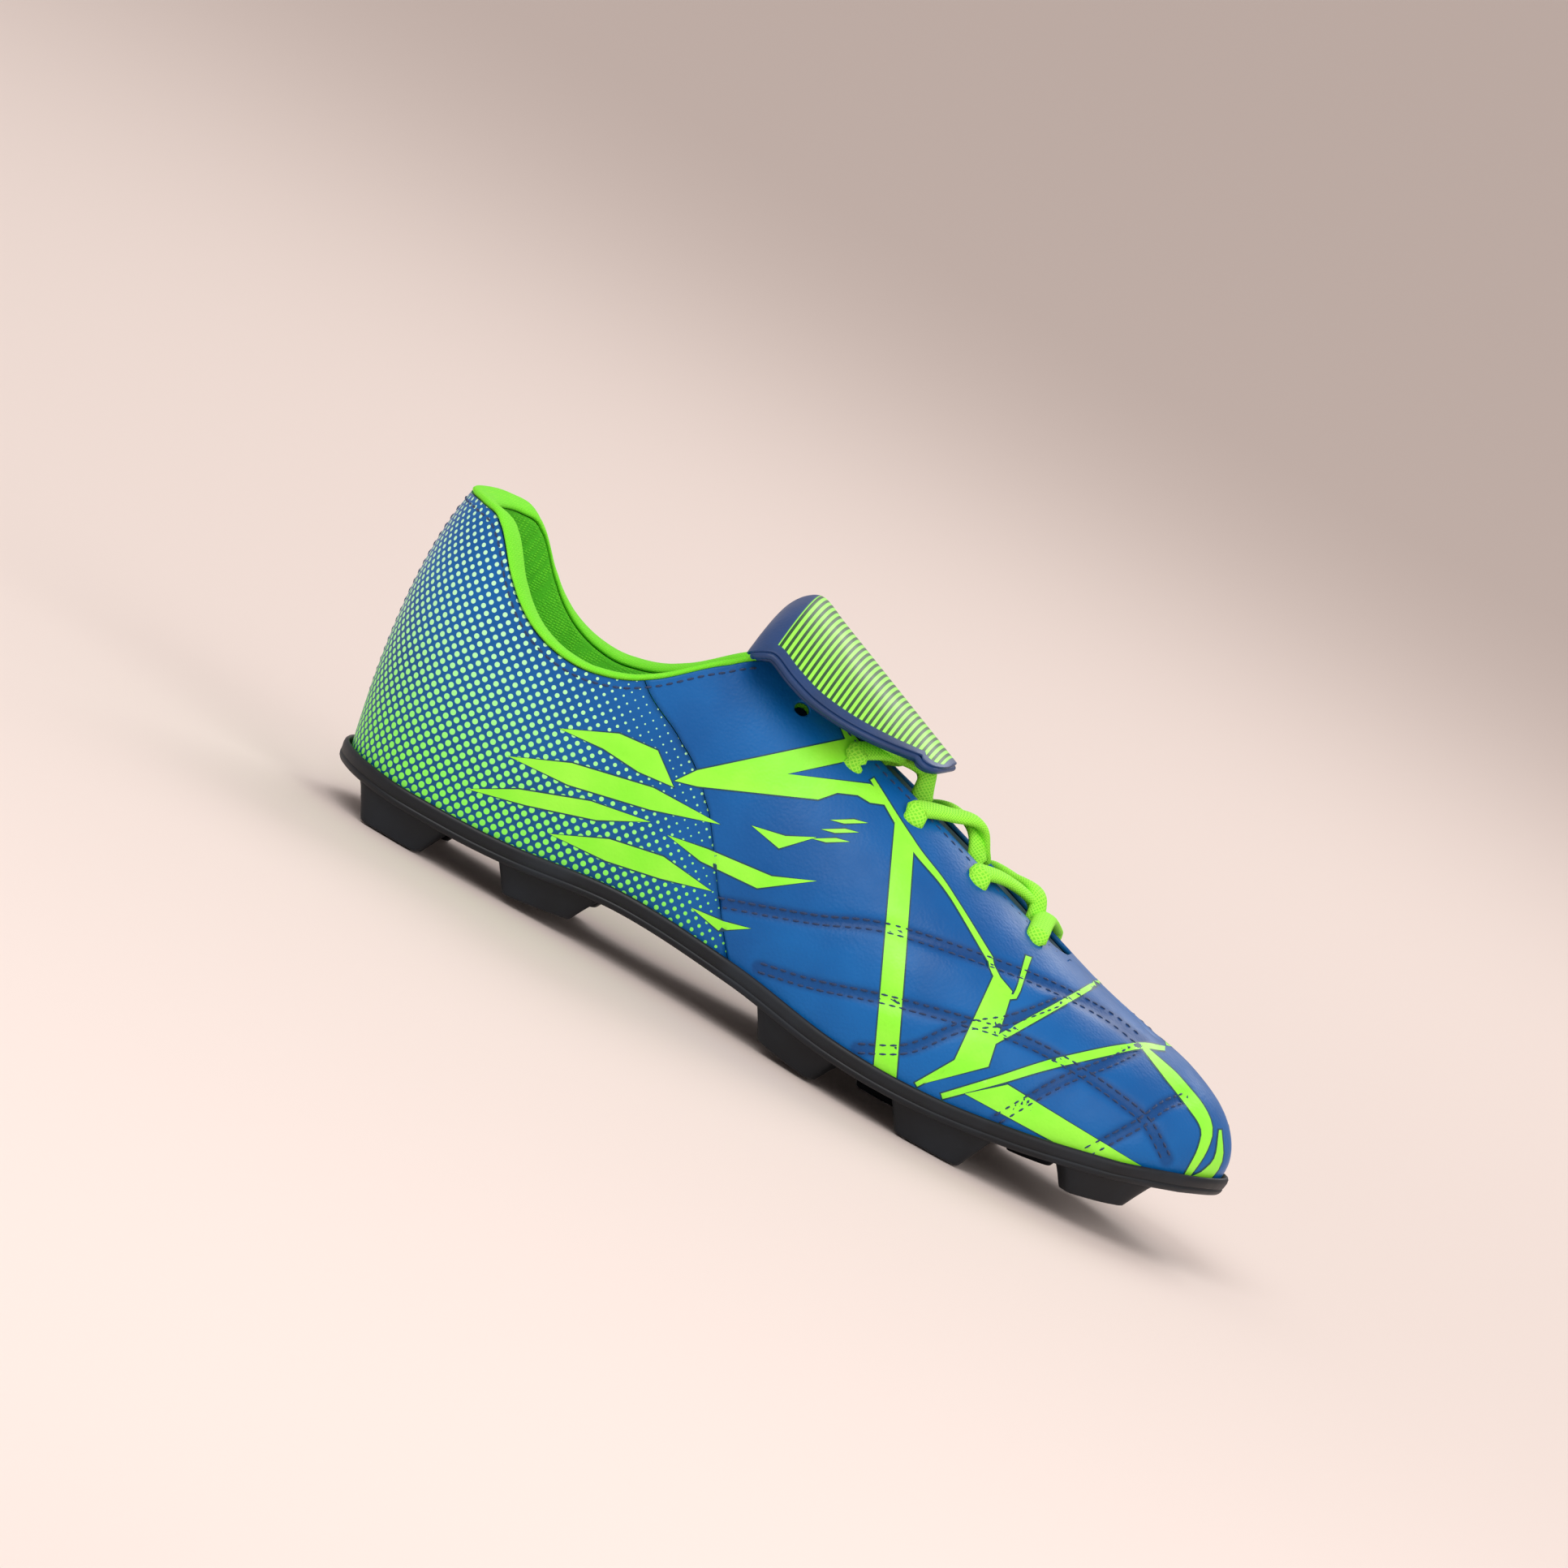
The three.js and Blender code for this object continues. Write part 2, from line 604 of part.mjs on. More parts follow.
// Plate with the lip that holds the upper, as one loop of profiles from the spine to the spine
function addOutsole() {
  const body = new Body();
  const rimAngle = (side, station) => {
    const s = section(side, station);
    return angleAtHeight(s, s.low + RIM);
  };
  const profile = (side, station) => {
    const s = section(side, station);
    const rim = rimAngle(side, station);
    const level = (reach, drop) => {
      const x = s.x + s.dx * reach;
      return new THREE.Vector3(x, s.y + s.dy * reach, soleZ(x) - SEAT_CLEAR - drop);
    };
    const edge = s.run + LIP_CLEAR;
    return [
      level(0, 0), level(edge * 0.5, 0), level(edge, 0),
      onLast(side, station, rim, -LIP_CLEAR), onLast(side, station, rim, -LIP_CLEAR - LIP * 0.7),
      onLast(side, station, rim * 0.4, -LIP_CLEAR - LIP),
      level(edge + LIP, PLATE * 0.35), level(edge + LIP - PLATE_FLARE, PLATE),
      level(edge * 0.5, PLATE), level(0, PLATE),
    ];
  };
  const stations = [0, ...STATIONS.filter((t) => t !== CORNER && !THROAT_ROUND.includes(t)), 8.5, TOE];
  stations.sort((a, b) => a - b);
  for (const side of [-1, 1]) {
    const rings = stations.map((t) => profile(side, t));
    for (let i = 0; i < rings.length - 1; i += 1) {
      for (let j = 0; j < rings[i].length - 1; j += 1) {
        const q = [rings[i][j], rings[i + 1][j], rings[i + 1][j + 1], rings[i][j + 1]];
        body.quad(...(side > 0 ? q.reverse() : q));
      }
    }
  }
  let solid = body.solid();
  for (const piece of [...STUDS.map(stud), ...RIB_Y.map(rib)]) solid = solid.add(piece);
  addMesh("outsole", solid, "sole");
}

// The tongue under the eyestays, three layers deep, up to its neck
const TONGUE_HALF = 20;
const TONGUE_OVERLAP = 12; // how far it reaches under each eyestay
const TONGUE_FRONT = stationOfSpine(THROAT_END_X + 8);
const TONGUE_NECK = stationOfSpine(99);

function addTongue() {
  const layers = [
    ["tongue_outer", 0, TONGUE_SKIN, "upper"],
    ["tongue_foam", TONGUE_SKIN + CLEAR, TONGUE_FOAM, "foam"],
    ["tongue_lining", TONGUE_SKIN + TONGUE_FOAM + 2 * CLEAR, TONGUE_SKIN, "lining"],
  ];
  const stations = range(13);
  const wing = (side, station) => {
    const held = Math.min(Math.max(station, CORNER), THROAT_END - 0.25);
    const wide = Math.min(throatHalf(side, held) + TONGUE_OVERLAP, sectionPoint(section(side, station), 0.5).r);
    return angleAtHalfWidth(side, station, station < CORNER ? Math.min(wide, TONGUE_HALF + 6) : wide);
  };
  for (const [name, from, thick, material] of layers) {
    const layer = panel({
      sides: [-1, 1], us: stations, vs: range(5), start: constant(TONGUE_NECK), end: constant(TONGUE_FRONT),
      low: wing, high: constant(UP),
      top: constant(TONGUE_TOP + from), under: constant(TONGUE_TOP + from + thick),
    });
    addMesh(name, layer, material);
  }
}

// The flap: its neck rises from the tongue, folds over at the crest and lies forward over the laces.
// Rows along the middle of its upper side: x and z from the neck's back edge, and half width share.
const NECK_GAP = 0.8;
const FLAP_ROWS = [
  [0, 0, 0.62], [-0.4, 4, 0.8], [0.8, 9.2, 0.93], [4, 13.4, 0.99], [8.4, 15, 1],
  [0.14, 0, 1], [0.3, 0, 0.97], [0.5, 0, 0.86], [0.7, 0, 0.68], [0.86, 0, 0.46], [0.96, 0, 0.26], [1, 0, 0.12],
];
const FLAP_FOLD_ROWS = 5;
const FLAP_SLOPE = (-0.41 * sz) / sx; // fall of the flap toward the toe
const FLAP_ARCH = 40; // radius across the flap

const neckBack = onLast(-1, TONGUE_NECK, UP, TONGUE_TOP);
const HINGE = neckBack.clone().add(new THREE.Vector3(-1.4, 0, 0.4));

function flapMiddle() {
  const start = HINGE.clone().add(new THREE.Vector3(0, 0, NECK_GAP));
  const fold = FLAP_ROWS.slice(0, FLAP_FOLD_ROWS).map(([x, z]) => start.clone().add(new THREE.Vector3(x, 0, z)));
  const crest = fold[FLAP_FOLD_ROWS - 1];
  const run = FLAP_LENGTH / Math.hypot(1, FLAP_SLOPE);
  const flat = FLAP_ROWS.slice(FLAP_FOLD_ROWS).map(([share]) => {
    const x = run * share;
    return crest.clone().add(new THREE.Vector3(x, 0, x * FLAP_SLOPE));
  });
  return [...fold, ...flat];
}

function addFlap() {
  const middle = flapMiddle();
  const across = range(8).map((t) => 2 * t - 1);
  const inward = middle.map((p, i) => {
    const before = middle[Math.max(i - 1, 0)];
    const after = middle[Math.min(i + 1, middle.length - 1)];
    const way = after.clone().sub(before).normalize();
    return new THREE.Vector3(way.z, 0, -way.x);
  });
  const sheet = (depth) => middle.map((p, i) => across.map((w) => {
    const y = w * FLAP_ROWS[i][2] * FLAP_HALF_WIDTH;
    const spot = p.clone().addScaledVector(inward[i], depth);
    return spot.add(new THREE.Vector3(0, y + neckBack.y, -(y * y) / (2 * FLAP_ARCH)));
  }));
  const skins = [
    ["tongue_flap_outer", 0, TONGUE_SKIN, "lime"],
    ["tongue_flap_foam", TONGUE_SKIN + CLEAR, FLAP_FOAM, "foam"],
    ["tongue_flap_lining", TONGUE_SKIN + FLAP_FOAM + 2 * CLEAR, TONGUE_SKIN, "upper"],
  ];
  for (const [name, from, thick, material] of skins) {
    const body = new Body();
    body.sheet(sheet(from), sheet(from + thick), constant(false), false);
    addMesh(name, body.solid(), material);
  }
}

// The lace turns round each eyestay's edge on a half circle from above to below it.
const OVER = LACE / 2 + CLEAR;
const UNDER = -(LINING_UNDER + 2 * CLEAR + LACE / 2);
const TURN = (OVER - UNDER) / 2;
const TURN_SLACK = 0.95; // the turn is centred a little outside the hole, so it clears its inner edge

// A point by side, eyelet, distance toward the toe, distance in from the eyelet and height of the
// lace's middle over the outside of the upper
function lacePoint(side, eyelet, forward, inward, height) {
  const station = stationOfSpine(EYELET_X[eyelet] + forward);
  const hole = stationOfSpine(EYELET_X[eyelet]);
  const half = throatHalf(side, hole) + EYELET_EDGE;
  const angle = inward < half ? angleAtHalfWidth(side, station, half - inward) : UP;
  return onLast(side, station, angle, -height);
}

const SPINE = 1000; // any distance past the spine means the spine

// Up through an eyelet, from under the eyestay to above it
function laceTurn(side, eyelet) {
  return [1, 0.84, 0.67, 0.5, 0.33, 0.16, 0].map((t) => {
    const a = Math.PI * t;
    const inward = TURN * (1 - Math.sin(a)) - TURN_SLACK;
    return lacePoint(side, eyelet, 0, inward, (OVER + UNDER) / 2 + TURN * Math.cos(a));
  });
}

// The free end: out of the throat, forward along the flap's edge and back under the flap
const LACE_END = [
  [1, 1.5, 10.5, -6.1], [1, 7, 14.5, -0.5], [1, 9.5, 12, 3.4], [1, 7, 8, 6.4], [1, -2, 5, 7.4], [1, -12, 4.5, 7], [1, -20, 5, 6],
];
const AGLET = { length: 12, wide: 3.4, side: 8 };

function laceHalf(first) {
  const points = LACE_END.map(([eyelet, ...at]) => lacePoint(first, eyelet, ...at)).reverse();
  const raised = first < 0 ? OVER + 0.3 : OVER + LACE + 0.3;
  let side = first;
  for (let eyelet = 1; eyelet < EYELET_X.length; eyelet += 1) {
    points.push(...laceTurn(side, eyelet));
    if (eyelet === EYELET_X.length - 1) break;
    points.push(lacePoint(side, eyelet, 8, 11, OVER + 0.8));
    points.push(lacePoint(side, eyelet, 18, SPINE, raised));
    side = -side;
    points.push(lacePoint(side, eyelet + 1, -0.5, 10.5, UNDER - 0.4));
  }
  return points;
}

function addLace() {
  const lateral = laceHalf(-1);
  const medial = laceHalf(1);
  const bar = lacePoint(-1, EYELET_X.length - 1, 1, SPINE, OVER + 0.6);
  const curve = new THREE.CatmullRomCurve3([...lateral, bar, ...medial.reverse()], false, "centripetal");
  const section = new THREE.Shape();
  const around = 8;
  for (let k = 0; k < around; k += 1) {
    const a = (2 * Math.PI * (k + 0.5)) / around;
    const put = k === 0 ? "moveTo" : "lineTo";
    section[put]((Math.cos(a) * LACE) / 2, (Math.sin(a) * LACE) / 2);
  }
  const tube = new THREE.ExtrudeGeometry(section, { steps: 115, extrudePath: curve, bevelEnabled: false });
  addMesh("lace", toSolid(tube), "lime");
  for (const [name, t, way] of [["aglet_lateral", 0, -1], ["aglet_medial", 1, 1]]) {
    const start = curve.getPointAt(t);
    const along = curve.getTangentAt(t).multiplyScalar(way);
    const aglet = new THREE.CylinderGeometry(AGLET.wide / 2, AGLET.wide / 2, AGLET.length, AGLET.side);
    aglet.applyQuaternion(new THREE.Quaternion().setFromUnitVectors(new THREE.Vector3(0, 1, 0), along));
    const middle = start.clone().addScaledVector(along, AGLET.length / 2 + CLEAR);
    aglet.translate(middle.x, middle.y, middle.z);
    addMesh(name, toSolid(aglet), "aglet");
  }
}

addOutsole();
addBottom();
addUpper();
addMiddleLayer();
addLinings();
addBinding();
addTongue();
addFlap();
addLace();

// The origin is under the middle of the box of the whole boot
const box = new THREE.Box3().setFromObject(boot);
boot.position.set(-(box.min.x + box.max.x) / 2, -(box.min.y + box.max.y) / 2, -box.min.z);

export default boot;
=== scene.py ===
import math

import bmesh
import bpy
import numpy as np
from mathutils import Matrix, Vector
from mathutils.bvhtree import BVHTree
from mathutils.geometry import delaunay_2d_cdt


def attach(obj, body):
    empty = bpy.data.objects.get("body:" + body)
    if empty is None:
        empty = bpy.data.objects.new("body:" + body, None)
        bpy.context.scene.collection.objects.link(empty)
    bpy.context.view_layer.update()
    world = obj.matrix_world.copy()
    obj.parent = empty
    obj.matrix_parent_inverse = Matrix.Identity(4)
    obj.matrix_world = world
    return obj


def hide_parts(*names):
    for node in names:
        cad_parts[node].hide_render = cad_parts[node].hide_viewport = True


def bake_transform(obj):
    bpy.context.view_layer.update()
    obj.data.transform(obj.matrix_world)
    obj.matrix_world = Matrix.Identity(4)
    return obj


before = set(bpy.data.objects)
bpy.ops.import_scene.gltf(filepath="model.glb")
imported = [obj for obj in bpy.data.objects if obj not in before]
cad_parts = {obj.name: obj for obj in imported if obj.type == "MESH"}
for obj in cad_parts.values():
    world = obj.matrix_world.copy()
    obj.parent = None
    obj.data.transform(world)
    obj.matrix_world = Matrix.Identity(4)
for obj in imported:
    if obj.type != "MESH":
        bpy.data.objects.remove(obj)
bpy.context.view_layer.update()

# Sizes in millimetres, in the last's own frame: x from heel to toe, y to the medial side, z up.
ORIGIN = np.array([-144.2957, 1.2547, 0.0])  # from the last's frame to the part's
MM = 0.001
SKIN = 1.2
CLEAR = 0.3
FOAM = 1.2
LINING = 0.8
FOAM_TOP = SKIN + CLEAR
LINING_TOP = FOAM_TOP + FOAM + CLEAR
LINING_UNDER = LINING_TOP + LINING
LACE = 2.9
TONGUE_TOP = LINING_UNDER + CLEAR + LACE + 4 * CLEAR
TONGUE_SKIN = 0.9
TONGUE_FOAM = 2.6
COLLAR_PAD = 4.5
COLLAR_PAD_DEPTH = 34
BINDING = 2
EYELET = 4.6
EYELET_EDGE = 7.5
EYELET_X = [118, 138, 160, 184, 206]
SEAM_TOP_X, SEAM_SOLE_X, CORNER_X, THROAT_END_X = 79, 138, 106, 218
SEAM_GAP = 0.003
SEAM_BOW = 0.42
SOLE_LINE = np.array([
    [0, 14.2], [17, 13.1], [32, 12.6], [62, 13.4], [100, 17.5], [140, 16], [175, 12.2],
    [205, 12.4], [235, 15.8], [262, 20.3], [280, 24.3], [292, 26.6]])
TOPLINE = np.array([
    [0, 99], [8, 99.5], [16, 97.5], [29, 84.5], [39, 77], [50, 73.5], [62, 73.8], [76, 79.5], [94, 94],
    [106, 101.5]])
THROAT = np.array([[106, 17.4], [111, 14.2], [119, 12.2], [145, 11.4], [175, 10.8], [208, 9.5]])
# outline x, lateral y, medial y, spine x, y, z, squareness, bulge
SECTIONS = np.array([
    [6, 0, 0, 38, 0, 135, 0.88, 12.6],
    [8.5, -14, 14, 38, 0, 135, 0.86, 11.4],
    [17, -25, 25, 39, 0, 134, 0.8, 9],
    [32, -31.5, 31, 46, 0, 131, 0.75, 6.6],
    [62, -32, 30, 68, 0, 123, 0.78, 4.6],
    [100, -31, 25, 101, 0.5, 110.5, 0.95, 3.8],
    [140, -37, 30, 139, 1, 93, 1.14, 3.2],
    [175, -45, 41, 170, 2, 81.5, 1.2, 3.2],
    [205, -47.5, 45, 198, 3, 70.5, 1.12, 3],
    [235, -42.5, 42.5, 224, 4, 61.3, 1.1, 3],
    [262, -30, 34.5, 243, 5, 56.5, 1.2, 3],
    [279, -13, 23, 249, 5, 54.8, 1.25, 3.2],
    [287, 6, 6, 250, 5, 54.5, 1.3, 3.4]])
TOE = len(SECTIONS) - 1
UP = math.pi / 2


def catmull(a, b, c, d, t):
    square, cube = 2 * a - 5 * b + 4 * c - d, 3 * b - a - 3 * c + d
    return 0.5 * (2 * b + (c - a) * t + square * t ** 2 + cube * t ** 3)


def along(points, x):
    """Smooth curve through [x, value] points, held flat past both ends."""
    x = np.clip(np.asarray(x, float), points[0, 0], points[-1, 0])
    last = len(points) - 1
    i = np.clip(np.searchsorted(points[:, 0], x, side="left") - 1, 0, last - 1)
    t = (x - points[i, 0]) / (points[i + 1, 0] - points[i, 0])
    v = points[:, 1]
    return catmull(v[np.maximum(i - 1, 0)], v[i], v[i + 1], v[np.minimum(i + 2, last)], t)


def channel(side, station, column, medial=None):
    """One column of the sections at a station, on the closed loop lateral heel - toe - medial heel."""
    i = np.clip(np.floor(station).astype(int), 0, TOE - 1)

    def at(k):
        wrapped = np.where((k < 0) | (k > TOE), -side, side)
        k = np.where(k < 0, -k, np.where(k > TOE, 2 * TOE - k, k))
        if medial is None:
            return SECTIONS[k, column]
        return np.where(wrapped < 0, SECTIONS[k, column], SECTIONS[k, medial])

    return catmull(at(i - 1), at(i), at(i + 1), at(i + 2), station - i)


def section(side, station):
    side, station = np.broadcast_arrays(np.asarray(side, float), np.asarray(station, float))
    x, y = channel(side, station, 0), channel(side, station, 1, 2)
    sx, sy, sz = (channel(side, station, k) for k in (3, 4, 5))
    run = np.hypot(x - sx, y - sy)
    return {"x": sx, "y": sy, "high": sz, "run": run, "dx": (x - sx) / run, "dy": (y - sy) / run,
            "low": along(SOLE_LINE, x), "power": channel(side, station, 6),
            "bulge": channel(side, station, 7)}


def section_point(s, angle):
    """Distance from the spine, height and outward normal of a section at an angle."""
    spine = angle > UP - 1e-5
    a = np.minimum(angle, UP - 1e-5)
    r = s["run"] * np.cos(a) ** s["power"] + s["bulge"] * np.sin(2 * a)
    z = s["low"] + (s["high"] - s["low"]) * np.sin(a)
    dr = 2 * s["bulge"] * np.cos(2 * a) - s["run"] * s["power"] * np.cos(a) ** (s["power"] - 1) * np.sin(a)
    dz = (s["high"] - s["low"]) * np.cos(a)
    size = np.hypot(dr, dz)
    return (np.where(spine, 0, r), np.where(spine, s["high"], z),
            np.where(spine, 0, dz / size), np.where(spine, 1, -dr / size))


def on_last(side, station, angle, depth=0.0):
    s = section(side, station)
    r, z, nr, nz = section_point(s, angle)
    r = r - depth * nr
    return np.stack(np.broadcast_arrays(s["x"] + s["dx"] * r, s["y"] + s["dy"] * r, z - depth * nz), -1)


def bisect(low, high, test, shape=()):
    a, b = np.full(shape, float(low)), np.full(shape, float(high))
    for _ in range(36):
        middle = (a + b) / 2
        hit = test(middle)
        a, b = np.where(hit, a, middle), np.where(hit, middle, b)
    return (a + b) / 2


def station_of_spine(x):
    x = np.asarray(x, float)
    return bisect(0, TOE, lambda t: section(-1, t)["x"] > x, x.shape)


def station_of_feather(x):
    return bisect(0, TOE, lambda t: on_last(-1, t, 0.0)[..., 0] > x)


CORNER = float(station_of_spine(CORNER_X))
THROAT_END = float(station_of_spine(THROAT_END_X))
SEAM_TOP = float(station_of_spine(SEAM_TOP_X))
SEAM_SOLE = float(station_of_feather(SEAM_SOLE_X))


def collar_angle(side, station, drop):
    def above(a):
        p = on_last(side, station, a)
        return p[..., 2] > along(TOPLINE, p[..., 0]) - drop

    return bisect(0.2, 1.45, above, np.broadcast(side, station, drop).shape)


def angle_at_half_width(side, station, half):
    s = section(side, station)
    return bisect(0.3, UP, lambda a: section_point(s, a)[0] < half, np.broadcast(side, station, half).shape)


def throat_half(station):
    x = section(-1, station)["x"]
    end = THROAT[-1, 1]
    straight = THROAT_END_X - end
    t = np.clip((x - straight) / end, 0, 1)
    return np.where(x < straight, along(THROAT, x), end * np.sqrt(1 - t * t))


def top_angle(side, station, inset=0.0):
    """Upper edge of the shell: collar, then throat, then the spine."""
    collar = collar_angle(side, station, BINDING + 0.2 + inset)
    throat = angle_at_half_width(side, station, throat_half(station) + inset)
    return np.where(station < CORNER, collar, np.where(station > THROAT_END, UP, throat))


def padding(side, station, angle):
    p = on_last(side, station, angle)
    drop = along(TOPLINE, p[..., 0]) - p[..., 2]
    t = np.clip(1 - drop / COLLAR_PAD_DEPTH, 0, 1)
    fade = np.clip(CORNER - 0.3 - station, 0, 1)
    return COLLAR_PAD * fade * np.sin(np.minimum(t * 1.35, 1) * UP)


# The print is drawn flat, in millimetres, on a plane that faces the lateral side, a little from the front
# and above.
ART_TURN, ART_TILT = math.radians(6), math.radians(7.5)
ART_ZERO = np.array([145.663, -1.255, 60.0])
RIGHT = np.array([math.cos(ART_TURN), math.sin(ART_TURN), 0])
BEHIND = np.array([-math.sin(ART_TURN), math.cos(ART_TURN), 0])
RISE = BEHIND * math.sin(ART_TILT) + [0, 0, math.cos(ART_TILT)]
INWARD = BEHIND * math.cos(ART_TILT) - [0, 0, math.sin(ART_TILT)]
MIRROR_Y = 2.0  # the medial side wears the mirrored print


def spine_y(x):
    return np.interp(x, SECTIONS[:, 3], SECTIONS[:, 4])


def art_plane(p):
    """Print coordinates of points: the medial half is mirrored over the spine."""
    y = p[..., 1]
    middle = spine_y(p[..., 0])
    y = np.where(y > middle, 2 * middle - y, y)
    q = np.stack([p[..., 0], y, p[..., 2]], -1) - ART_ZERO
    return q @ RIGHT, q @ RISE


STITCH_ROWS = [
    [(-24.5, -32.1), (2.0, -23.2), (22.4, -15.1), (53.3, -9.5), (72.4, -7.3), (90.0, -7.1), (102.9, -9.2)],
    [(-4.8, -42.7), (10.9, -39.5), (31.5, -33.3), (55.9, -27.5), (72.8, -24.7), (88.3, -24.6),
     (105.0, -26.4), (114.6, -28.7), (124.5, -35.1)],
    [(31.0, -49.4), (43.7, -42.5), (53.7, -30.3), (65.4, -21.3), (75.8, -10.0)],
    [(75.5, -48.2), (86.7, -30.0), (96.8, -18.1), (101.6, -11.7)],
    [(102.7, -44.3), (112.3, -29.9), (116.3, -22.1), (121.0, -16.9)],
]
ROW_GAP = 2.6  # between the two threads of a double row


def smooth_line(points, step):
    """A Catmull-Rom line through 2-D or 3-D points, resampled at an even step."""
    p = np.asarray(points, float)
    ends = np.vstack([2 * p[0] - p[1], p, 2 * p[-1] - p[-2]])
    dense = []
    for i in range(len(p) - 1):
        for t in np.linspace(0, 1, 24, endpoint=False):
            dense.append(catmull(ends[i], ends[i + 1], ends[i + 2], ends[i + 3], t))
    dense = np.array(dense + [p[-1]])
    length = np.concatenate([[0], np.cumsum(np.linalg.norm(np.diff(dense, axis=0), axis=1))])
    count = max(int(length[-1] / step), 2)
    want = np.linspace(0, length[-1], count + 1)
    return np.stack([np.interp(want, length, dense[:, k]) for k in range(p.shape[1])], -1)


ROW_LINES = [smooth_line(row, 1.5) for row in STITCH_ROWS]


def distance_to_rows(u, w):
    best = np.full(u.shape, 99.0)
    for line in ROW_LINES:
        a, b = line[:-1], line[1:]
        for (au, aw), (bu, bw) in zip(a, b):
            du, dw = bu - au, bw - aw
            t = np.clip(((u - au) * du + (w - aw) * dw) / (du * du + dw * dw), 0, 1)
            best = np.minimum(best, np.hypot(u - au - t * du, w - aw - t * dw))
    return best


def quilting(side, station, angle):
    """How far the stitched skin sinks along the rows and swells between them."""
    u, w = art_plane(on_last(side, station, angle))
    d = distance_to_rows(u, w)
    edge = np.clip((angle - 0.05) / 0.2, 0, 1)
    swell = 0.35 * np.clip(d / 9, 0, 1) * np.clip((34 - d) / 22, 0, 1)
    return (0.8 * np.exp(-(d / 1.9) ** 2) - swell) * edge


# ---------------------------------------------------------------- materials

def rgb(text):
    """Linear colour of an sRGB hex colour."""
    parts = [int(text[i:i + 2], 16) / 255 for i in (0, 2, 4)]
    return [((v + 0.055) / 1.055) ** 2.4 if v > 0.04045 else v / 12.92 for v in parts] + [1]


class Look:
    """A material's node tree, with short calls for the nodes it needs."""

    def __init__(self, name, color, roughness, **sockets):
        self.material = bpy.data.materials.new(name)
        self.material.use_nodes = True
        self.tree = self.material.node_tree
        self.shader = self.tree.nodes["Principled BSDF"]
        self.shader.inputs["Base Color"].default_value = rgb(color)
        self.shader.inputs["Roughness"].default_value = roughness
        for key, value in sockets.items():
            self.shader.inputs[key.replace("_", " ")].default_value = value

    def node(self, kind, **settings):
        node = self.tree.nodes.new(kind)
        for key, value in settings.items():
            setattr(node, key, value)
        return node

    def put(self, socket, value):
        if isinstance(value, bpy.types.NodeSocket):
            self.tree.links.new(value, socket)
        else:
            socket.default_value = value

    def math(self, operation, *values, clamp=False):
        node = self.node("ShaderNodeMath", operation=operation, use_clamp=clamp)
        for i, value in enumerate(values):
            self.put(node.inputs[i], value)
        return node.outputs[0]

    def attribute(self, name):
        return self.node("ShaderNodeAttribute", attribute_name=name).outputs["Fac"]

    def position(self, stretch=(1, 1, 1)):
        coords = self.node("ShaderNodeTexCoord")
        mapping = self.node("ShaderNodeMapping")
        self.put(mapping.inputs["Vector"], coords.outputs["Object"])
        mapping.inputs["Scale"].default_value = stretch
        return mapping.outputs[0]

    def vector(self, x, y, z=0.0):
        node = self.node("ShaderNodeCombineXYZ")
        for i, value in enumerate((x, y, z)):
            self.put(node.inputs[i], value)
        return node.outputs[0]

    def noise(self, scale, detail=3.0, vector=None, roughness=0.55):
        node = self.node("ShaderNodeTexNoise")
        self.put(node.inputs["Vector"], vector or self.position())
        self.put(node.inputs["Scale"], scale)
        self.put(node.inputs["Detail"], detail)
        self.put(node.inputs["Roughness"], roughness)
        return node.outputs["Fac"]

    def voronoi(self, scale, vector=None, feature="F1", randomness=1.0, dimensions="3D"):
        node = self.node("ShaderNodeTexVoronoi", feature=feature, voronoi_dimensions=dimensions)
        self.put(node.inputs["Vector"], vector or self.position())
        self.put(node.inputs["Scale"], scale)
        self.put(node.inputs["Randomness"], randomness)
        return node.outputs["Distance"]

    def ramp(self, value, low, high, to_low=0.0, to_high=1.0, smooth=True):
        node = self.node("ShaderNodeMapRange", interpolation_type="SMOOTHSTEP" if smooth else "LINEAR")
        for i, v in enumerate((value, low, high, to_low, to_high)):
            self.put(node.inputs[i], v)
        return node.outputs[0]

    def mix(self, factor, a, b):
        node = self.node("ShaderNodeMix", data_type="RGBA")
        self.put(node.inputs["Factor"], factor)
        self.put(node.inputs[6], rgb(a) if isinstance(a, str) else a)
        self.put(node.inputs[7], rgb(b) if isinstance(b, str) else b)
        return node.outputs[2]

    def color(self, value):
        self.put(self.shader.inputs["Base Color"], value)

    def roughness(self, value):
        self.put(self.shader.inputs["Roughness"], value)

    def bump(self, height, distance, strength=1.0):
        """Height 0 to 1 stands for distance millimetres. Later calls add to earlier ones."""
        node = self.node("ShaderNodeBump")
        self.put(node.inputs["Height"], height)
        node.inputs["Distance"].default_value = distance * MM
        node.inputs["Strength"].default_value = strength
        normal = self.shader.inputs["Normal"]
        if normal.is_linked:
            self.tree.links.new(normal.links[0].from_socket, node.inputs["Normal"])
        self.tree.links.new(node.outputs[0], normal)


LEATHER = {"Coat_Weight": 0.03, "Coat_Roughness": 0.3, "Specular_IOR_Level": 0.25}


def leather(look, grain=1.0):
    """Coated synthetic leather: fine pebbles, faint creases and a slightly uneven gloss."""
    pebble = look.voronoi(1100, feature="SMOOTH_F1")
    look.bump(look.ramp(pebble, 0.05, 0.75), 0.055 * grain, 0.7)
    look.bump(look.noise(160, 4), 0.16, 0.35)
    look.roughness(look.ramp(look.noise(70, 3), 0.3, 0.7, 0.36, 0.5))


def cloudy(look, scale, dark, light):
    """A colour that drifts between two tones."""
    return look.mix(look.ramp(look.noise(scale, 3), 0.3, 0.7), dark, light)


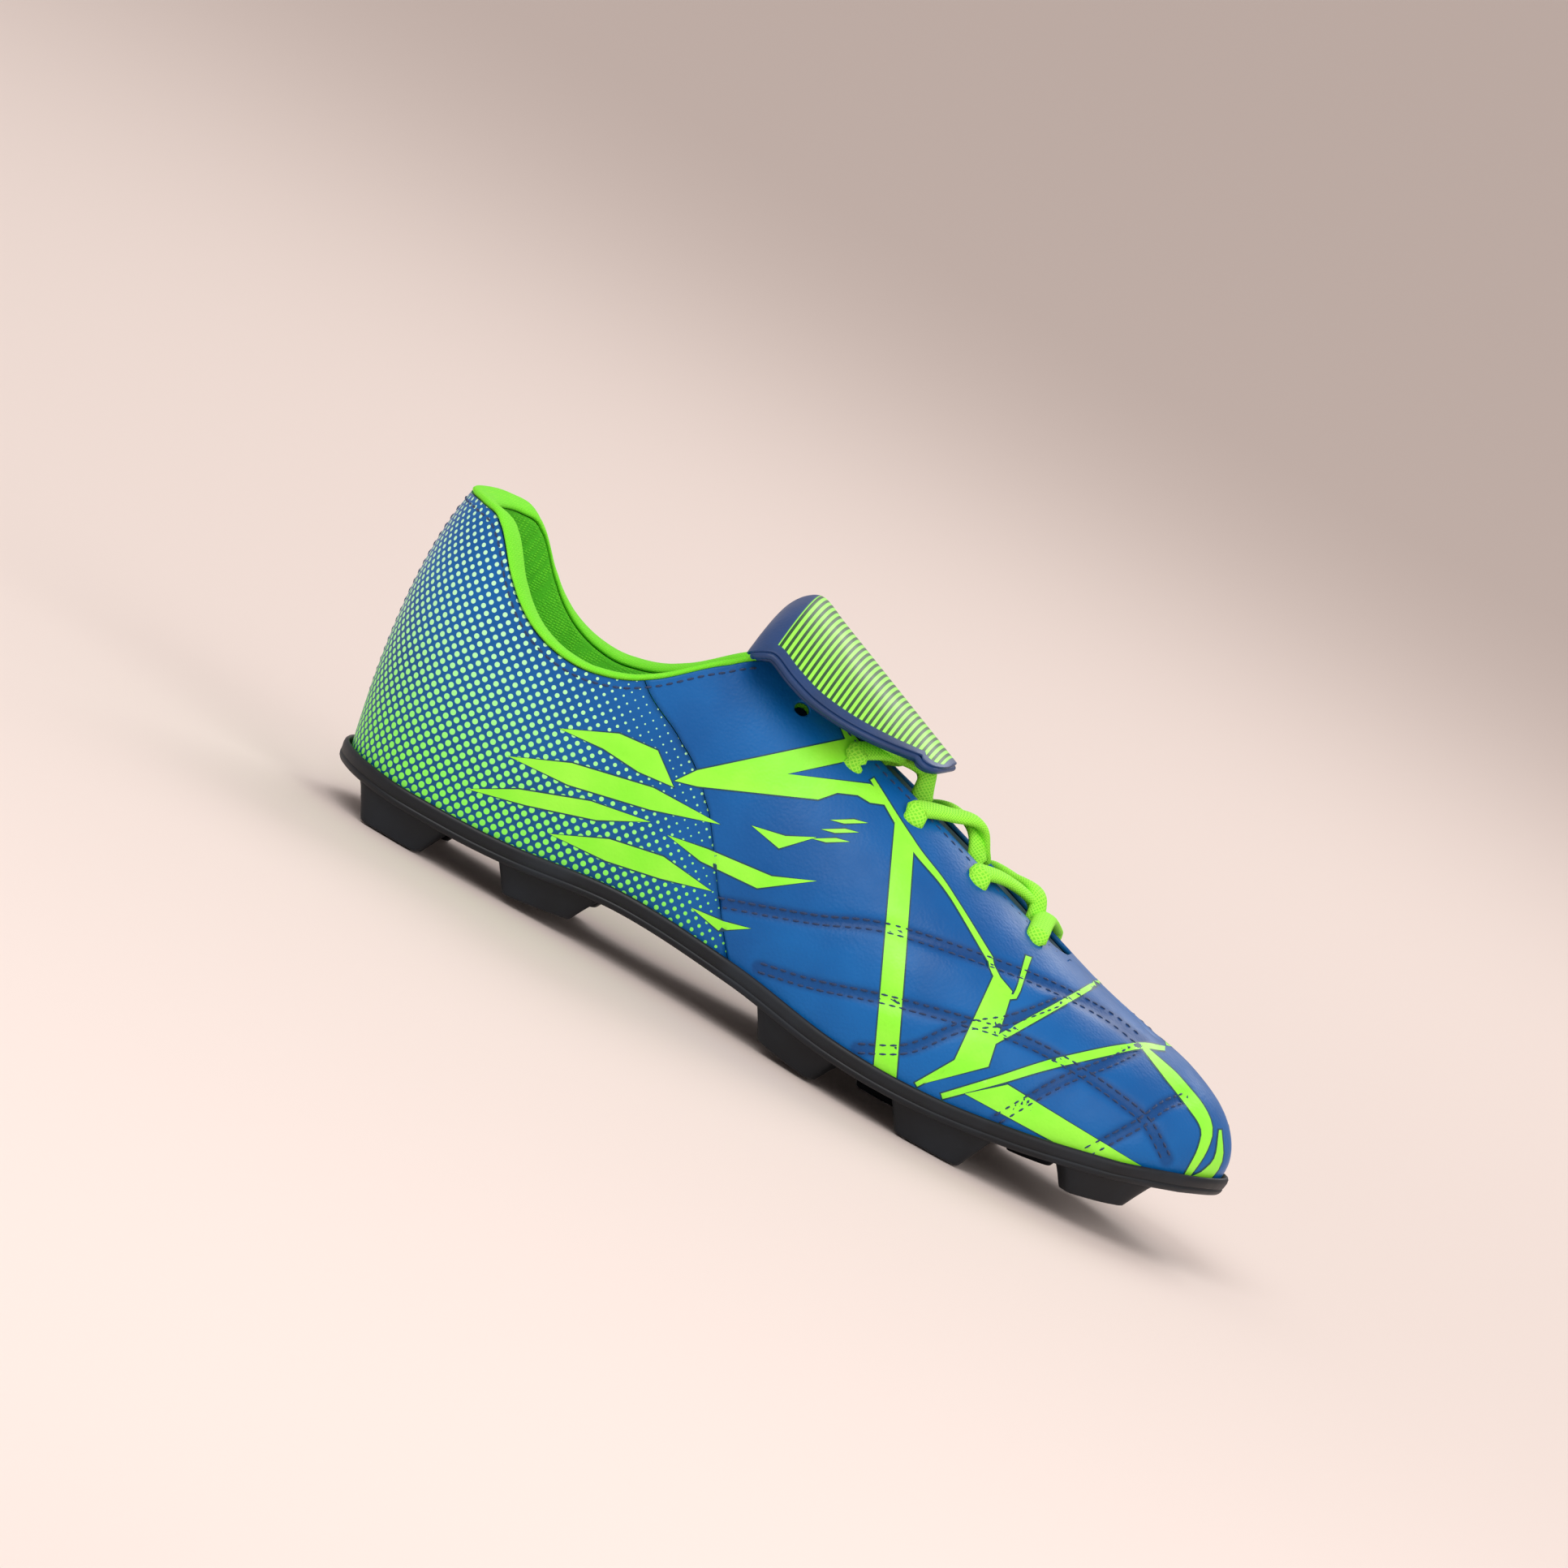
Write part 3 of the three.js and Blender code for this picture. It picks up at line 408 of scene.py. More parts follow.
def leather_blue():
    look = Look("leather_blue", "0A579B", 0.44, **LEATHER)
    leather(look)
    tone = cloudy(look, 24, "045499", "0865AE")
    # painted shade: the leather is darkened towards 053069 along the sunk stitch rows, where shade falls in
    # the grooves
    seam_shade = look.ramp(look.attribute("sink"), 0.15, 0.75)
    look.color(look.mix(look.math("MULTIPLY", seam_shade, 0.55), tone, "053069"))
    return look.material


DOT_PITCH, DOT_SKEW = 2.5, math.radians(52)
DOT_FRONT = np.array([[-72.9, 11.1], [-13.2, -42.0]])  # ends of the line where the dots are smallest


def leather_dotted():
    """The heel panels: the same leather with a halftone of pale dots that shrink upward and forward."""
    look = Look("leather_dotted", "0A579B", 0.44, **LEATHER)
    leather(look)
    u, w = look.attribute("dot_x"), look.attribute("dot_z")
    cos, sin = math.cos(DOT_SKEW), math.sin(DOT_SKEW)
    across = look.math("ADD", look.math("MULTIPLY", u, cos), look.math("MULTIPLY", w, sin))
    up = look.math("SUBTRACT", look.math("MULTIPLY", w, cos), look.math("MULTIPLY", u, sin))
    cell = look.voronoi(1.0 / DOT_PITCH, look.vector(across, up), randomness=0.0, dimensions="2D")
    reach = look.math("MULTIPLY", cell, DOT_PITCH)
    inside = look.math("SUBTRACT", look.attribute("dot"), reach)
    dot = look.ramp(inside, -0.07, 0.07)
    blue = cloudy(look, 24, "045499", "0865AE")
    shade = look.mix(look.ramp(w, 12, 80), "0B4A66", blue)
    ground = look.mix(look.ramp(look.attribute("dot"), 0.35, 0.95, 0, 0.6), blue, shade)
    ink = look.mix(look.ramp(w, 14, 90), "8CFF5C", "C6FFD2")
    look.color(look.mix(dot, ground, ink))
    look.bump(dot, 0.05, 0.5)
    return look.material


def ink_lime():
    look = Look("ink_lime", "97FB35", 0.45, Coat_Weight=0.1, Coat_Roughness=0.35)
    leather(look, 0.6)
    look.color(look.mix(look.ramp(look.noise(60, 4), 0.25, 0.75), "8CFA28", "A0FF3C"))
    return look.material


def ink_edge():
    look = Look("ink_edge", "0B4256", 0.5)
    leather(look, 0.6)
    return look.material


def knit(name, dark, light, pitch, depth):
    """A fine knit: rows of loops across two directions, with soft fibres."""
    look = Look(name, light, 0.85, Sheen_Weight=0.35, Sheen_Roughness=0.4)
    look.shader.inputs["Sheen Tint"].default_value = rgb(light)
    cell = look.voronoi(1000 / pitch, look.position((1, 1, 1.35)), randomness=0.25)
    loop = look.ramp(cell, 0.1, 0.6, 1, 0)
    look.bump(loop, depth, 0.8)
    look.bump(look.noise(4200, 2), 0.05, 0.5)
    # painted shade with random tone: the knit takes its dark colour in the gaps between the loops and
    # lighter tones on their raised middles, varied by noise
    look.color(look.mix(look.math("MULTIPLY", loop, look.noise(300, 3)), dark, light))
    return look.material


def thread():
    look = Look("thread_navy", "0B2C57", 0.6, Sheen_Weight=0.2)
    look.bump(look.noise(3500, 2, look.position((1, 1, 3))), 0.06, 0.8)
    look.color(look.mix(look.noise(900, 2), "071E3E", "15427A"))
    return look.material


def moulded():
    """Hard black rubber-like plastic with a fine moulded haze and dull scuffs."""
    look = Look("moulded_sole", "181C21", 0.48, Specular_IOR_Level=0.3)
    look.bump(look.noise(1900, 3), 0.03, 0.5)
    look.bump(look.noise(90, 4), 0.12, 0.3)
    scuff = look.noise(35, 5, look.position((1, 2.5, 1)))
    look.roughness(look.ramp(scuff, 0.35, 0.7, 0.36, 0.58))
    look.color(look.mix(look.ramp(scuff, 0.4, 0.75), "14181D", "20262D"))
    return look.material


def braid():
    """A flat braided lace: diagonal strands crossing in a herringbone."""
    look = Look("lace_braid", "8DF52C", 0.72, Sheen_Weight=0.3, Sheen_Roughness=0.45)
    look.shader.inputs["Sheen Tint"].default_value = rgb("B5FF50")
    far, round_ = look.attribute("lace_far"), look.attribute("lace_round")
    strand = 1.1
    one = look.math("SINE", look.math("MULTIPLY", look.math("ADD", far, round_), 2 * math.pi / strand))
    two = look.math("SINE", look.math("MULTIPLY", look.math("SUBTRACT", far, round_), 2 * math.pi / strand))
    weave = look.math("MAXIMUM", one, two)
    height = look.ramp(weave, -0.4, 1.0)
    look.bump(height, 0.16, 0.7)
    look.bump(look.noise(3800, 2), 0.04, 0.5)
    # painted shade and highlight: the braid is painted darker in the troughs between strands and lighter on
    # their crests
    look.color(look.mix(height, "78E622", "A8FF40"))
    return look.material


def flap_striped():
    """The flap's face: fine cross stripes inside a plain dark rim."""
    look = Look("flap_striped", "15508F", 0.45, Coat_Weight=0.08, Coat_Roughness=0.35)
    leather(look, 0.7)
    far, rim = look.attribute("flap_far"), look.attribute("flap_rim")
    pitch = 1.95
    wave = look.math("SINE", look.math("MULTIPLY", far, 2 * math.pi / pitch))
    stripe = look.ramp(wave, -0.25, 0.05)
    bars = look.mix(stripe, "0C4A1E", "9BF747")
    field = look.math("MULTIPLY", look.ramp(rim, 2.1, 2.4), look.ramp(far, 18.0, 18.4))
    tone = cloudy(look, 30, "06305F", "0A3D78")
    look.color(look.mix(field, tone, bars))
    look.bump(look.math("MULTIPLY", stripe, field), 0.07, 0.6)
    return look.material


def leather_dark():
    look = Look("leather_dark", "15508F", 0.45, Coat_Weight=0.08)
    leather(look)
    look.color(cloudy(look, 30, "062E5C", "0A3A72"))
    return look.material


def tongue_lined():
    """The tongue: dark blue leather with thin pale lines along it."""
    look = Look("tongue_lined", "15508F", 0.5)
    leather(look)
    wave = look.math("SINE", look.math("MULTIPLY", look.attribute("art_v"), 2 * math.pi / 7.5))
    line = look.ramp(wave, 0.93, 0.97)
    look.color(look.mix(line, "113D76", "9BF747"))
    return look.material


def foam_look(name, color):
    look = Look(name, color, 0.95)
    look.bump(look.voronoi(1400), 0.12, 0.6)
    look.color(look.mix(look.noise(500, 3), color, "35506E"))
    return look.material


def plain_board(name, color, roughness):
    look = Look(name, color, roughness)
    look.bump(look.noise(700, 4), 0.08, 0.5)
    look.roughness(look.ramp(look.noise(120, 3), 0.3, 0.7, roughness - 0.1, roughness + 0.08))
    return look.material


def plastic_lime():
    look = Look("aglet_plastic", "9DFF3C", 0.22, Coat_Weight=0.4)
    look.bump(look.noise(900, 2), 0.02, 0.5)
    return look.material


BLUE, DOTTED, INK, INK_EDGE = leather_blue(), leather_dotted(), ink_lime(), ink_edge()
LINING_LOOK = knit("lining_knit", "55C71F", "8CFF33", 1.0, 0.2)
BINDING_LOOK = knit("binding_knit", "74E622", "9FFF3C", 0.7, 0.1)
THREAD, SOLE, BRAID = thread(), moulded(), braid()
FLAP_LOOK, DARK, TONGUE_LOOK = flap_striped(), leather_dark(), tongue_lined()
FOAM_LOOK, BOARD_LOOK = foam_look("foam_blue", "24405F"), plain_board("board_pulp", "B8B2A2", 0.85)
STIFFENER_LOOK, AGLET_LOOK = plain_board("stiffener_sheet", "56687A", 0.7), plastic_lime()


# ---------------------------------------------------------------- meshes

def make_object(name, points, faces, materials, attributes=None, indices=None):
    """A mesh object from millimetre points in the last's frame."""
    mesh = bpy.data.meshes.new(name)
    placed = (np.asarray(points, float).reshape(-1, 3) + ORIGIN) * MM
    mesh.from_pydata(placed.tolist(), [], [tuple(map(int, f)) for f in faces])
    for key, values in (attributes or {}).items():
        layer = mesh.attributes.new(key, "FLOAT", "POINT")
        layer.data.foreach_set("value", np.asarray(values, np.float32).ravel())
    for material in materials:
        mesh.materials.append(material)
    if indices is not None:
        mesh.polygons.foreach_set("material_index", np.asarray(indices, np.int32))
    mesh.polygons.foreach_set("use_smooth", [True] * len(mesh.polygons))
    mesh.update()
    obj = bpy.data.objects.new(name, mesh)
    bpy.context.scene.collection.objects.link(obj)
    return obj


def points_of(obj):
    """An object's vertices in the last's frame, in millimetres."""
    flat = np.empty(len(obj.data.vertices) * 3)
    obj.data.vertices.foreach_get("co", flat)
    return flat.reshape(-1, 3) / MM - ORIGIN


def grid_faces(rows, columns, start=0, flip=False, closed=False):
    faces = []
    for i in range(rows - 1):
        here, there = start + i * columns, start + (i + 1) * columns
        for j in range(columns if closed else columns - 1):
            k = (j + 1) % columns
            q = [here + j, there + j, there + k, here + k]
            faces.append(q[::-1] if flip else q)
    return faces


def rod_faces(rings, around, turned=False):
    """The side and the two ends of a rod made of rings. turned turns the ends' faces round."""
    last = (rings - 1) * around
    ends = [list(range(around))[::-1], [last + k for k in range(around)]]
    return grid_faces(rings, around, closed=True) + ([q[::-1] for q in ends] if turned else ends)


def joined(bodies):
    """All the points and faces of several bodies."""
    points, faces, at = [], [], 0
    for p, f in bodies:
        points.append(np.asarray(p, float).reshape(-1, 3))
        faces += [[i + at for i in q] for q in f]
        at += len(points[-1])
    return np.concatenate(points), faces


def slab(outer, inner, flip=False):
    """Points and faces of a closed body between two equal grids."""
    rows, columns = outer.shape[:2]
    n = rows * columns
    faces = grid_faces(rows, columns, 0, flip) + grid_faces(rows, columns, n, not flip)
    rim = [i * columns for i in range(rows)]
    rim += [(rows - 1) * columns + j for j in range(1, columns)]
    rim += [i * columns + columns - 1 for i in range(rows - 2, -1, -1)]
    rim += list(range(columns - 2, 0, -1))
    for a, b in zip(rim, rim[1:] + rim[:1]):
        q = [a, a + n, b + n, b]
        faces.append(q if flip else q[::-1])
    return np.concatenate([outer.reshape(-1, 3), inner.reshape(-1, 3)]), faces


def merged(obj, distance=0.02, walls=False):
    """Joins points that coincide, where two grids meet. With walls, the walls between two halves go too."""
    b = bmesh.new()
    b.from_mesh(obj.data)
    bmesh.ops.remove_doubles(b, verts=b.verts, dist=distance * MM)
    if walls:
        seen = {}
        for f in b.faces:
            seen.setdefault(tuple(sorted(v.index for v in f.verts)), []).append(f)
        double = [f for same in seen.values() if len(same) > 1 for f in same]
        bmesh.ops.delete(b, geom=double, context="FACES_ONLY")
        thin = [f for f in b.faces if f.calc_area() < 1e-12]
        bmesh.ops.delete(b, geom=thin, context="FACES_ONLY")
    bmesh.ops.recalc_face_normals(b, faces=b.faces)
    b.to_mesh(obj.data)
    b.free()
    return obj


def seam(v):
    """Station of the seam between vamp and quarter, at a share of the height."""
    return SEAM_SOLE + (SEAM_TOP - SEAM_SOLE) * v * (1 + SEAM_BOW * (1 - v))


def front_of_seam(v):
    return seam(v) + SEAM_GAP


def behind_seam(v):
    return seam(v) - SEAM_GAP


def panel_grid(side, nu, nv, start, end, v0=0.0):
    """Stations and angles of a dense grid over a shell panel, from v0 of its height up."""
    u = np.linspace(0, 1, nu)[:, None]
    v = np.linspace(v0, 1, nv)[None, :]
    first, last = start(v), end(v)
    station = first + (last - first) * u
    return station, top_angle(side, station) * v


def shell(name, sides, nu, nv, start, end, top, under, materials, held=None, **more):
    """A closed panel piece between two depths of the last, on one or both sides.
    held tells which points of its inner face a simulation holds."""
    bodies, marks = [], []
    for side in sides:
        station, angle = panel_grid(side, nu, nv, start, end, **more)
        outer = on_last(side, station, angle, top(side, station, angle))
        inner = on_last(side, station, angle, under(side, station, angle))
        bodies.append(slab(outer, inner, side > 0))
        if held:
            marks += [np.ones(station.size), held(side, station, angle).ravel()]
    attributes = {"held": np.concatenate(marks)} if held else None
    return make_object(name, *joined(bodies), materials, attributes=attributes)


def constant(value):
    return lambda *_: value


def finish_piece(obj, body, slot, *nodes):
    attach(obj, body)
    if nodes:
        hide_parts(*nodes)
    return obj


# ---------------------------------------------------------------- upper

QUARTER_GRID = (130, 84)
LINING_LOW = 0.012  # share of the height where the linings start


def cutters():
    """Short rods that punch the eyelets."""
    bodies = []
    around = 20
    for side in (-1, 1):
        for x in EYELET_X:
            station = station_of_spine(x)
            angle = angle_at_half_width(side, station, throat_half(station) + EYELET_EDGE)
            outside = on_last(side, station, angle, -4.0)
            inside = on_last(side, station, angle, LINING_UNDER + 3)
            axis = (outside - inside) / np.linalg.norm(outside - inside)
            one = np.cross(axis, [1, 0, 0])
            one /= np.linalg.norm(one)
            two = np.cross(axis, one)
            a = np.linspace(0, 2 * math.pi, around, endpoint=False)[:, None]
            ring = (np.cos(a) * one + np.sin(a) * two) * EYELET / 2
            bodies.append((np.concatenate([inside + ring, outside + ring]), rod_faces(2, around)))
    return merged(make_object("cutter", *joined(bodies), []))


def punch(obj, rods):
    mod = obj.modifiers.new("punch", "BOOLEAN")
    mod.operation = "DIFFERENCE"
    mod.solver = "EXACT"
    mod.object = rods
    graph = bpy.context.evaluated_depsgraph_get()
    cut = obj.evaluated_get(graph)
    mesh = bpy.data.meshes.new_from_object(cut, preserve_all_data_layers=True, depsgraph=graph)
    obj.modifiers.clear()
    old = obj.data
    obj.data = mesh
    bpy.data.meshes.remove(old)


def put_attribute(obj, name, values):
    layer = obj.data.attributes.new(name, "FLOAT", "POINT")
    layer.data.foreach_set("value", np.asarray(values, np.float32))


def paint_attributes(obj):
    """Print coordinates, the mask of the sunk stitch rows that carries their painted shade, and halftone
    dot radius at each point.
    """
    p = points_of(obj)
    u, w = art_plane(p)
    put_attribute(obj, "art_u", u)
    put_attribute(obj, "art_w", w)
    # sink: where the skin sinks along the stitch rows; leather_blue paints shade there
    put_attribute(obj, "sink", np.exp(-(distance_to_rows(u, w) / 2.3) ** 2))
    way = (DOT_FRONT[1] - DOT_FRONT[0]) / np.linalg.norm(DOT_FRONT[1] - DOT_FRONT[0])
    front = np.abs((u - DOT_FRONT[0, 0]) * way[1] - (w - DOT_FRONT[0, 1]) * way[0])
    dot = 1.0 - 0.0036 * (w + 45) - 0.62 * np.exp(-front / 13) - 0.1 * np.clip((u + 130) / 60, 0, 1)
    put_attribute(obj, "dot", np.clip(dot, 0.24, 1.0))


def lay_dots(obj, side):
    """Halftone coordinates that follow the heel: distance round it from the back seam, and height."""
    station, _ = panel_grid(side, *QUARTER_GRID, constant(SEAM_GAP), behind_seam)
    reference = np.linspace(0, SEAM_SOLE + 0.5, 400)
    belt = on_last(side, reference, 0.42)
    length = np.concatenate([[0], np.cumsum(np.linalg.norm(np.diff(belt, axis=0), axis=1))])
    round_heel = np.interp(station.ravel(), reference, length)
    put_attribute(obj, "dot_x", np.tile(round_heel, 2))
    put_attribute(obj, "dot_z", points_of(obj)[:, 2])


def build_upper():
    rods = cutters()
    vamp = shell("vamp_skin", (-1, 1), 210, 84, front_of_seam, constant(TOE),
                 quilting, constant(SKIN), [BLUE])
    merged(vamp, walls=True)
    punch(vamp, rods)
    paint_attributes(vamp)
    finish_piece(vamp, "boot", "upper", "vamp")
    skins = [vamp]
    for hand, side in (("lateral", -1), ("medial", 1)):
        quarter = shell("quarter_skin_" + hand, (side,), *QUARTER_GRID, constant(SEAM_GAP), behind_seam,
                        constant(0.0), constant(SKIN), [DOTTED])
        paint_attributes(quarter)
        lay_dots(quarter, side)
        finish_piece(quarter, "boot", "upper", "quarter_" + hand)
        skins.append(quarter)
    lining = shell("vamp_lining_sheet", (-1, 1), 120, 44, front_of_seam, constant(TOE),
                   constant(LINING_TOP), constant(LINING_UNDER), [LINING_LOOK], v0=LINING_LOW)
    merged(lining, walls=True)
    punch(lining, rods)
    finish_piece(lining, "boot", "lining", "vamp_lining")
    bpy.data.objects.remove(rods)
    return skins


PAD_PRESSURE = 110.0
PAD_CAP = 2.2  # the most that the padding may swell
PAD_SEAMS = [0.0, 1.9, 3.35]  # stations of the seams across the padding
PAD_EDGES = (4.0, 31.0)  # the padding's seams along the collar, below the topline


def swell(obj, pressure, cap):
    """Blows the piece up as cloth under pressure where it isn't held, and keeps the result in its mesh."""
    held = np.empty(len(obj.data.vertices))
    obj.data.attributes["held"].data.foreach_get("value", held)
    group = obj.vertex_groups.new(name="held")
    for weight in np.unique(held):
        group.add(np.flatnonzero(held == weight).tolist(), float(weight), "REPLACE")
    rest = points_of(obj)
    cloth = obj.modifiers.new("cloth", "CLOTH")
    cloth.settings.vertex_group_mass = "held"
    cloth.settings.use_pressure = True
    cloth.settings.uniform_pressure_force = pressure
    cloth.settings.effector_weights.gravity = 0
    cloth.settings.tension_stiffness = cloth.settings.compression_stiffness = 0.6
    cloth.settings.shear_stiffness = 0.3
    cloth.settings.bending_stiffness = 0.01
    cloth.settings.mass = 0.02
    cloth.settings.quality = 4
    cloth.collision_settings.use_collision = False
    cloth.point_cache.frame_start, cloth.point_cache.frame_end = 1, 20
    scene = bpy.context.scene
    for number in range(1, 21):
        scene.frame_set(number)
    moved = obj.evaluated_get(bpy.context.evaluated_depsgraph_get())
    flat = np.empty(len(held) * 3)
    moved.data.vertices.foreach_get("co", flat)
    shift = flat.reshape(-1, 3) / MM - ORIGIN - rest
    obj.modifiers.clear()
    scene.frame_set(1)
    size = np.linalg.norm(shift, axis=1)
    size = np.where(np.isfinite(size), size, 0)
    shift = np.nan_to_num(shift) * (cap * np.tanh(size / cap) / np.maximum(size, 1e-6))[:, None]
    flat = ((rest + shift + ORIGIN) * MM).ravel()
    obj.data.vertices.foreach_set("co", flat)
    obj.data.update()


def build_collar():
    """The padded lining of the collar and the rolled binding on its edge."""
    def held(side, station, angle):
        p = on_last(side, station, angle)
        drop = along(TOPLINE, p[..., 0]) - p[..., 2]
        out = (drop < PAD_EDGES[0]) | (drop > PAD_EDGES[1]) | (station > CORNER - 0.9)
        for place in PAD_SEAMS:
            out |= np.abs(station - place) < 0.035
        return out.astype(float)

    lining = shell("collar_lining", (-1, 1), 90, 44, constant(0.0), behind_seam,
                   lambda *at: LINING_TOP + padding(*at), lambda *at: LINING_UNDER + padding(*at),
                   [LINING_LOOK], v0=LINING_LOW, held=held)
    merged(lining, walls=True)
    swell(lining, PAD_PRESSURE, PAD_CAP)
    finish_piece(lining, "boot", "lining", "quarter_lining")
    around, steps = 18, 150
    rings = []
    stations = np.linspace(CORNER - 0.02, 0, steps)
    order = [(1, t) for t in stations] + [(-1, t) for t in stations[::-1][1:]]
    for side, station in order:
        low = collar_angle(side, station, BINDING)
        pad = padding(side, station, low)
        a = np.linspace(0, 2 * math.pi, around, endpoint=False)
        middle = (LINING_UNDER + pad) / 2
        reach = middle + 0.35
        drop = 1.15 - 1.5 * np.where(np.sin(a) > 0, np.sin(a), 0.8 * np.sin(a))
        depth = middle - reach * np.sign(np.cos(a)) * np.abs(np.cos(a)) ** 0.8
        rings.append(on_last(side, station, collar_angle(side, station, drop), depth))
    faces = rod_faces(len(rings), around, turned=True)
    binding = merged(make_object("collar_binding", np.array(rings), faces, [BINDING_LOOK]), 0.005)
    finish_piece(binding, "boot", "binding", "topline_binding")


# ---------------------------------------------------------------- print and stitches on the skin

class Skin:
    """Finds where a print point lands on the skin."""

    def __init__(self, objects):
        points, faces = joined((points_of(obj), [f.vertices for f in obj.data.polygons]) for obj in objects)
        self.tree = BVHTree.FromPolygons([Vector(p) for p in points], faces)

    def height(self, p):
        """Rough height of a point over the outside of the upper."""
        hit, _, _, distance = self.tree.find_nearest(Vector(p))
        out = Vector(p - [p[0], spine_y(p[0]), p[2] - 40])
        return distance if (Vector(p) - hit).dot(out) > 0 else -distance

    def land(self, u, w, side, lift=0.0):
        start = ART_ZERO + RIGHT * u + RISE * w - INWARD * 300
        way = INWARD.copy()
        if side > 0:
            start[1] = 2 * MIRROR_Y - start[1]
            way[1] = -way[1]
        hit, normal, _, _ = self.tree.ray_cast(Vector(start), Vector(way))
        if hit is None:
            return None
        if normal.dot(Vector(way)) > 0:
            normal = -normal
        return np.array(hit + normal * lift), np.array(normal)


def grown(polygon, by):
    """The polygon with each edge moved out by a distance."""
    p = np.asarray(polygon, float)
    if np.sum(p[:, 0] * np.roll(p[:, 1], -1) - np.roll(p[:, 0], -1) * p[:, 1]) < 0:
        p = p[::-1]
    edge = np.roll(p, -1, 0) - p
    edge /= np.linalg.norm(edge, axis=1)[:, None]
    out = np.stack([edge[:, 1], -edge[:, 0]], -1)
    before = np.roll(out, 1, 0)
    join = out + before
    scale = np.clip(1 / np.maximum(1 + np.sum(out * before, 1), 0.25), 0, 2)
    return p + join * scale[:, None] * by


def strip(points, widths):
    """A tapering band round a line, as a polygon."""
    p = np.asarray(points, float)
    w = np.interp(np.linspace(0, 1, len(p)), np.linspace(0, 1, len(widths)), widths) / 2
    way = np.gradient(p, axis=0)
    way /= np.linalg.norm(way, axis=1)[:, None]
    out = np.stack([-way[:, 1], way[:, 0]], -1) * w[:, None]
    return np.concatenate([p + out, (p - out)[::-1]])


def decal(skin, polygon, side, lift, step=1.3):
    """Points and triangles of a print shape laid on the skin."""
    p = np.asarray(polygon, float)
    rim = []
    for a, b in zip(p, np.roll(p, -1, 0)):
        n = max(int(np.linalg.norm(b - a) / step), 1)
        rim += [a + (b - a) * k / n for k in range(n)]
    rim = np.array(rim)
    low, high = rim.min(0), rim.max(0)
    gu, gw = np.meshgrid(np.arange(low[0], high[0], step), np.arange(low[1], high[1], step))
    inner = np.stack([gu.ravel(), gw.ravel()], -1)
    near = np.min(np.linalg.norm(inner[:, None] - rim[None], axis=2), axis=1) > step * 0.45
    spots = [Vector(v) for v in np.concatenate([rim, inner[near]])]
    verts, _, faces, *_ = delaunay_2d_cdt(spots, [], [list(range(len(rim)))], 1, 1e-5)
    placed, keep = [], {}
    for i, v in enumerate(verts):
        found = skin.land(v[0], v[1], side, lift)
        if found is not None:
            keep[i] = len(placed)
            placed.append(found[0])
    triangles = []
    for f in faces:
        if any(i not in keep for i in f):
            continue
        t = [keep[i] for i in f]
        size = max(np.linalg.norm(placed[t[0]] - placed[t[k]]) for k in (1, 2))
        if size < step * 5:
            triangles.append(t if side < 0 else t[::-1])
    return placed, triangles


PRINT_SHAPES = [
    [(-51.6, -7.3), (-47.3, -1.5), (-14.3, 26.7), (-20.9, 31.9), (-11.2, 28.4), (-8.5, 32.3), (-4.9, 33.4),
     (1.5, 31.6), (-4.0, 25.9), (-6.0, 26.2), (-9.7, 22.8), (-10.1, 22.0), (-24.1, 9.9), (-1.9, 18.7),
     (2.0, 18.5), (5.9, 16.1), (5.5, 15.8), (0.7, 14.0), (-3.4, 14.2), (-8.9, 12.0), (-12.8, 7.7),
     (-45.1, -5.6)],
    [(9.0, 14.0), (17.4, 8.7), (18.4, 7.4), (44.9, -51.6), (37.8, -52.0), (13.1, 4.5)],
    [(55.3, -11.3), (62.2, -14.0), (66.3, -36.0), (52.5, -49.0), (57.0, -40.0)],
    [(64.1, -46.0), (73.6, -37.9), (125.4, -40.5), (104.4, -46.0)],
]
PRINT_LINES = [
    ([(-2.0, 20.3), (17.1, 9.3), (32.1, 2.8), (52.4, -8.9)], [1.2, 2.2, 1.3, 1.8]),
    ([(52.4, -8.9), (55.0, -11.5), (63.3, -15.6), (61.8, -3.0)], [1.4, 1.8, 1.2, 1.8]),
    ([(50.7, -50.4), (66.6, -25.2), (82.8, -0.8)], [1.3, 2.0, 1.5]),
    ([(58.7, -49.8), (70.7, -38.0), (82.7, -26.1), (100.6, -11.4), (109.4, -7.5)],
     [1.6, 2.2, 2.6, 2.4, 1.2]),
    ([(103.3, -10.0), (118.0, -15.0), (129.4, -20.6), (132.3, -27.3), (132.0, -37.6)],
     [1.2, 3.6, 4.2, 3.0, 1.6]),
    ([(134.5, -20.5), (138.0, -28.0), (137.0, -34.0), (134.0, -38.0)], [0.8, 2.2, 3.4, 3.8]),
]
# An abstract drift of shards, and three short bars
SHARDS = [
    [(-103, -38), (-90, -31), (-70, -24), (-52, -21), (-66, -28), (-86, -34)],
    [(-97, -24), (-80, -17), (-56, -12), (-34, -12), (-54, -18), (-78, -23)],
    [(-88, -10), (-72, -3), (-60, -2), (-51, -9), (-62, -10), (-74, -9)],
    [(-76, -38), (-60, -31), (-44, -28), (-27, -30), (-42, -34), (-58, -37)],
    [(-46, -22), (-34, -20), (-14, -18), (-2, -13), (-16, -23), (-34, -24)],
    [(-30, -37), (-20, -36), (-12, -34), (-20, -39)],
    [(-26, -8), (-16, -6), (-8, -2), (-16, -10)],
]
BAR = [(-9, -3), (-3, 0.4), (1, 1.4), (-5, -2)]
BARS = [[(u + k, w + 3.6 * k) for u, w in BAR] for k in range(3)]


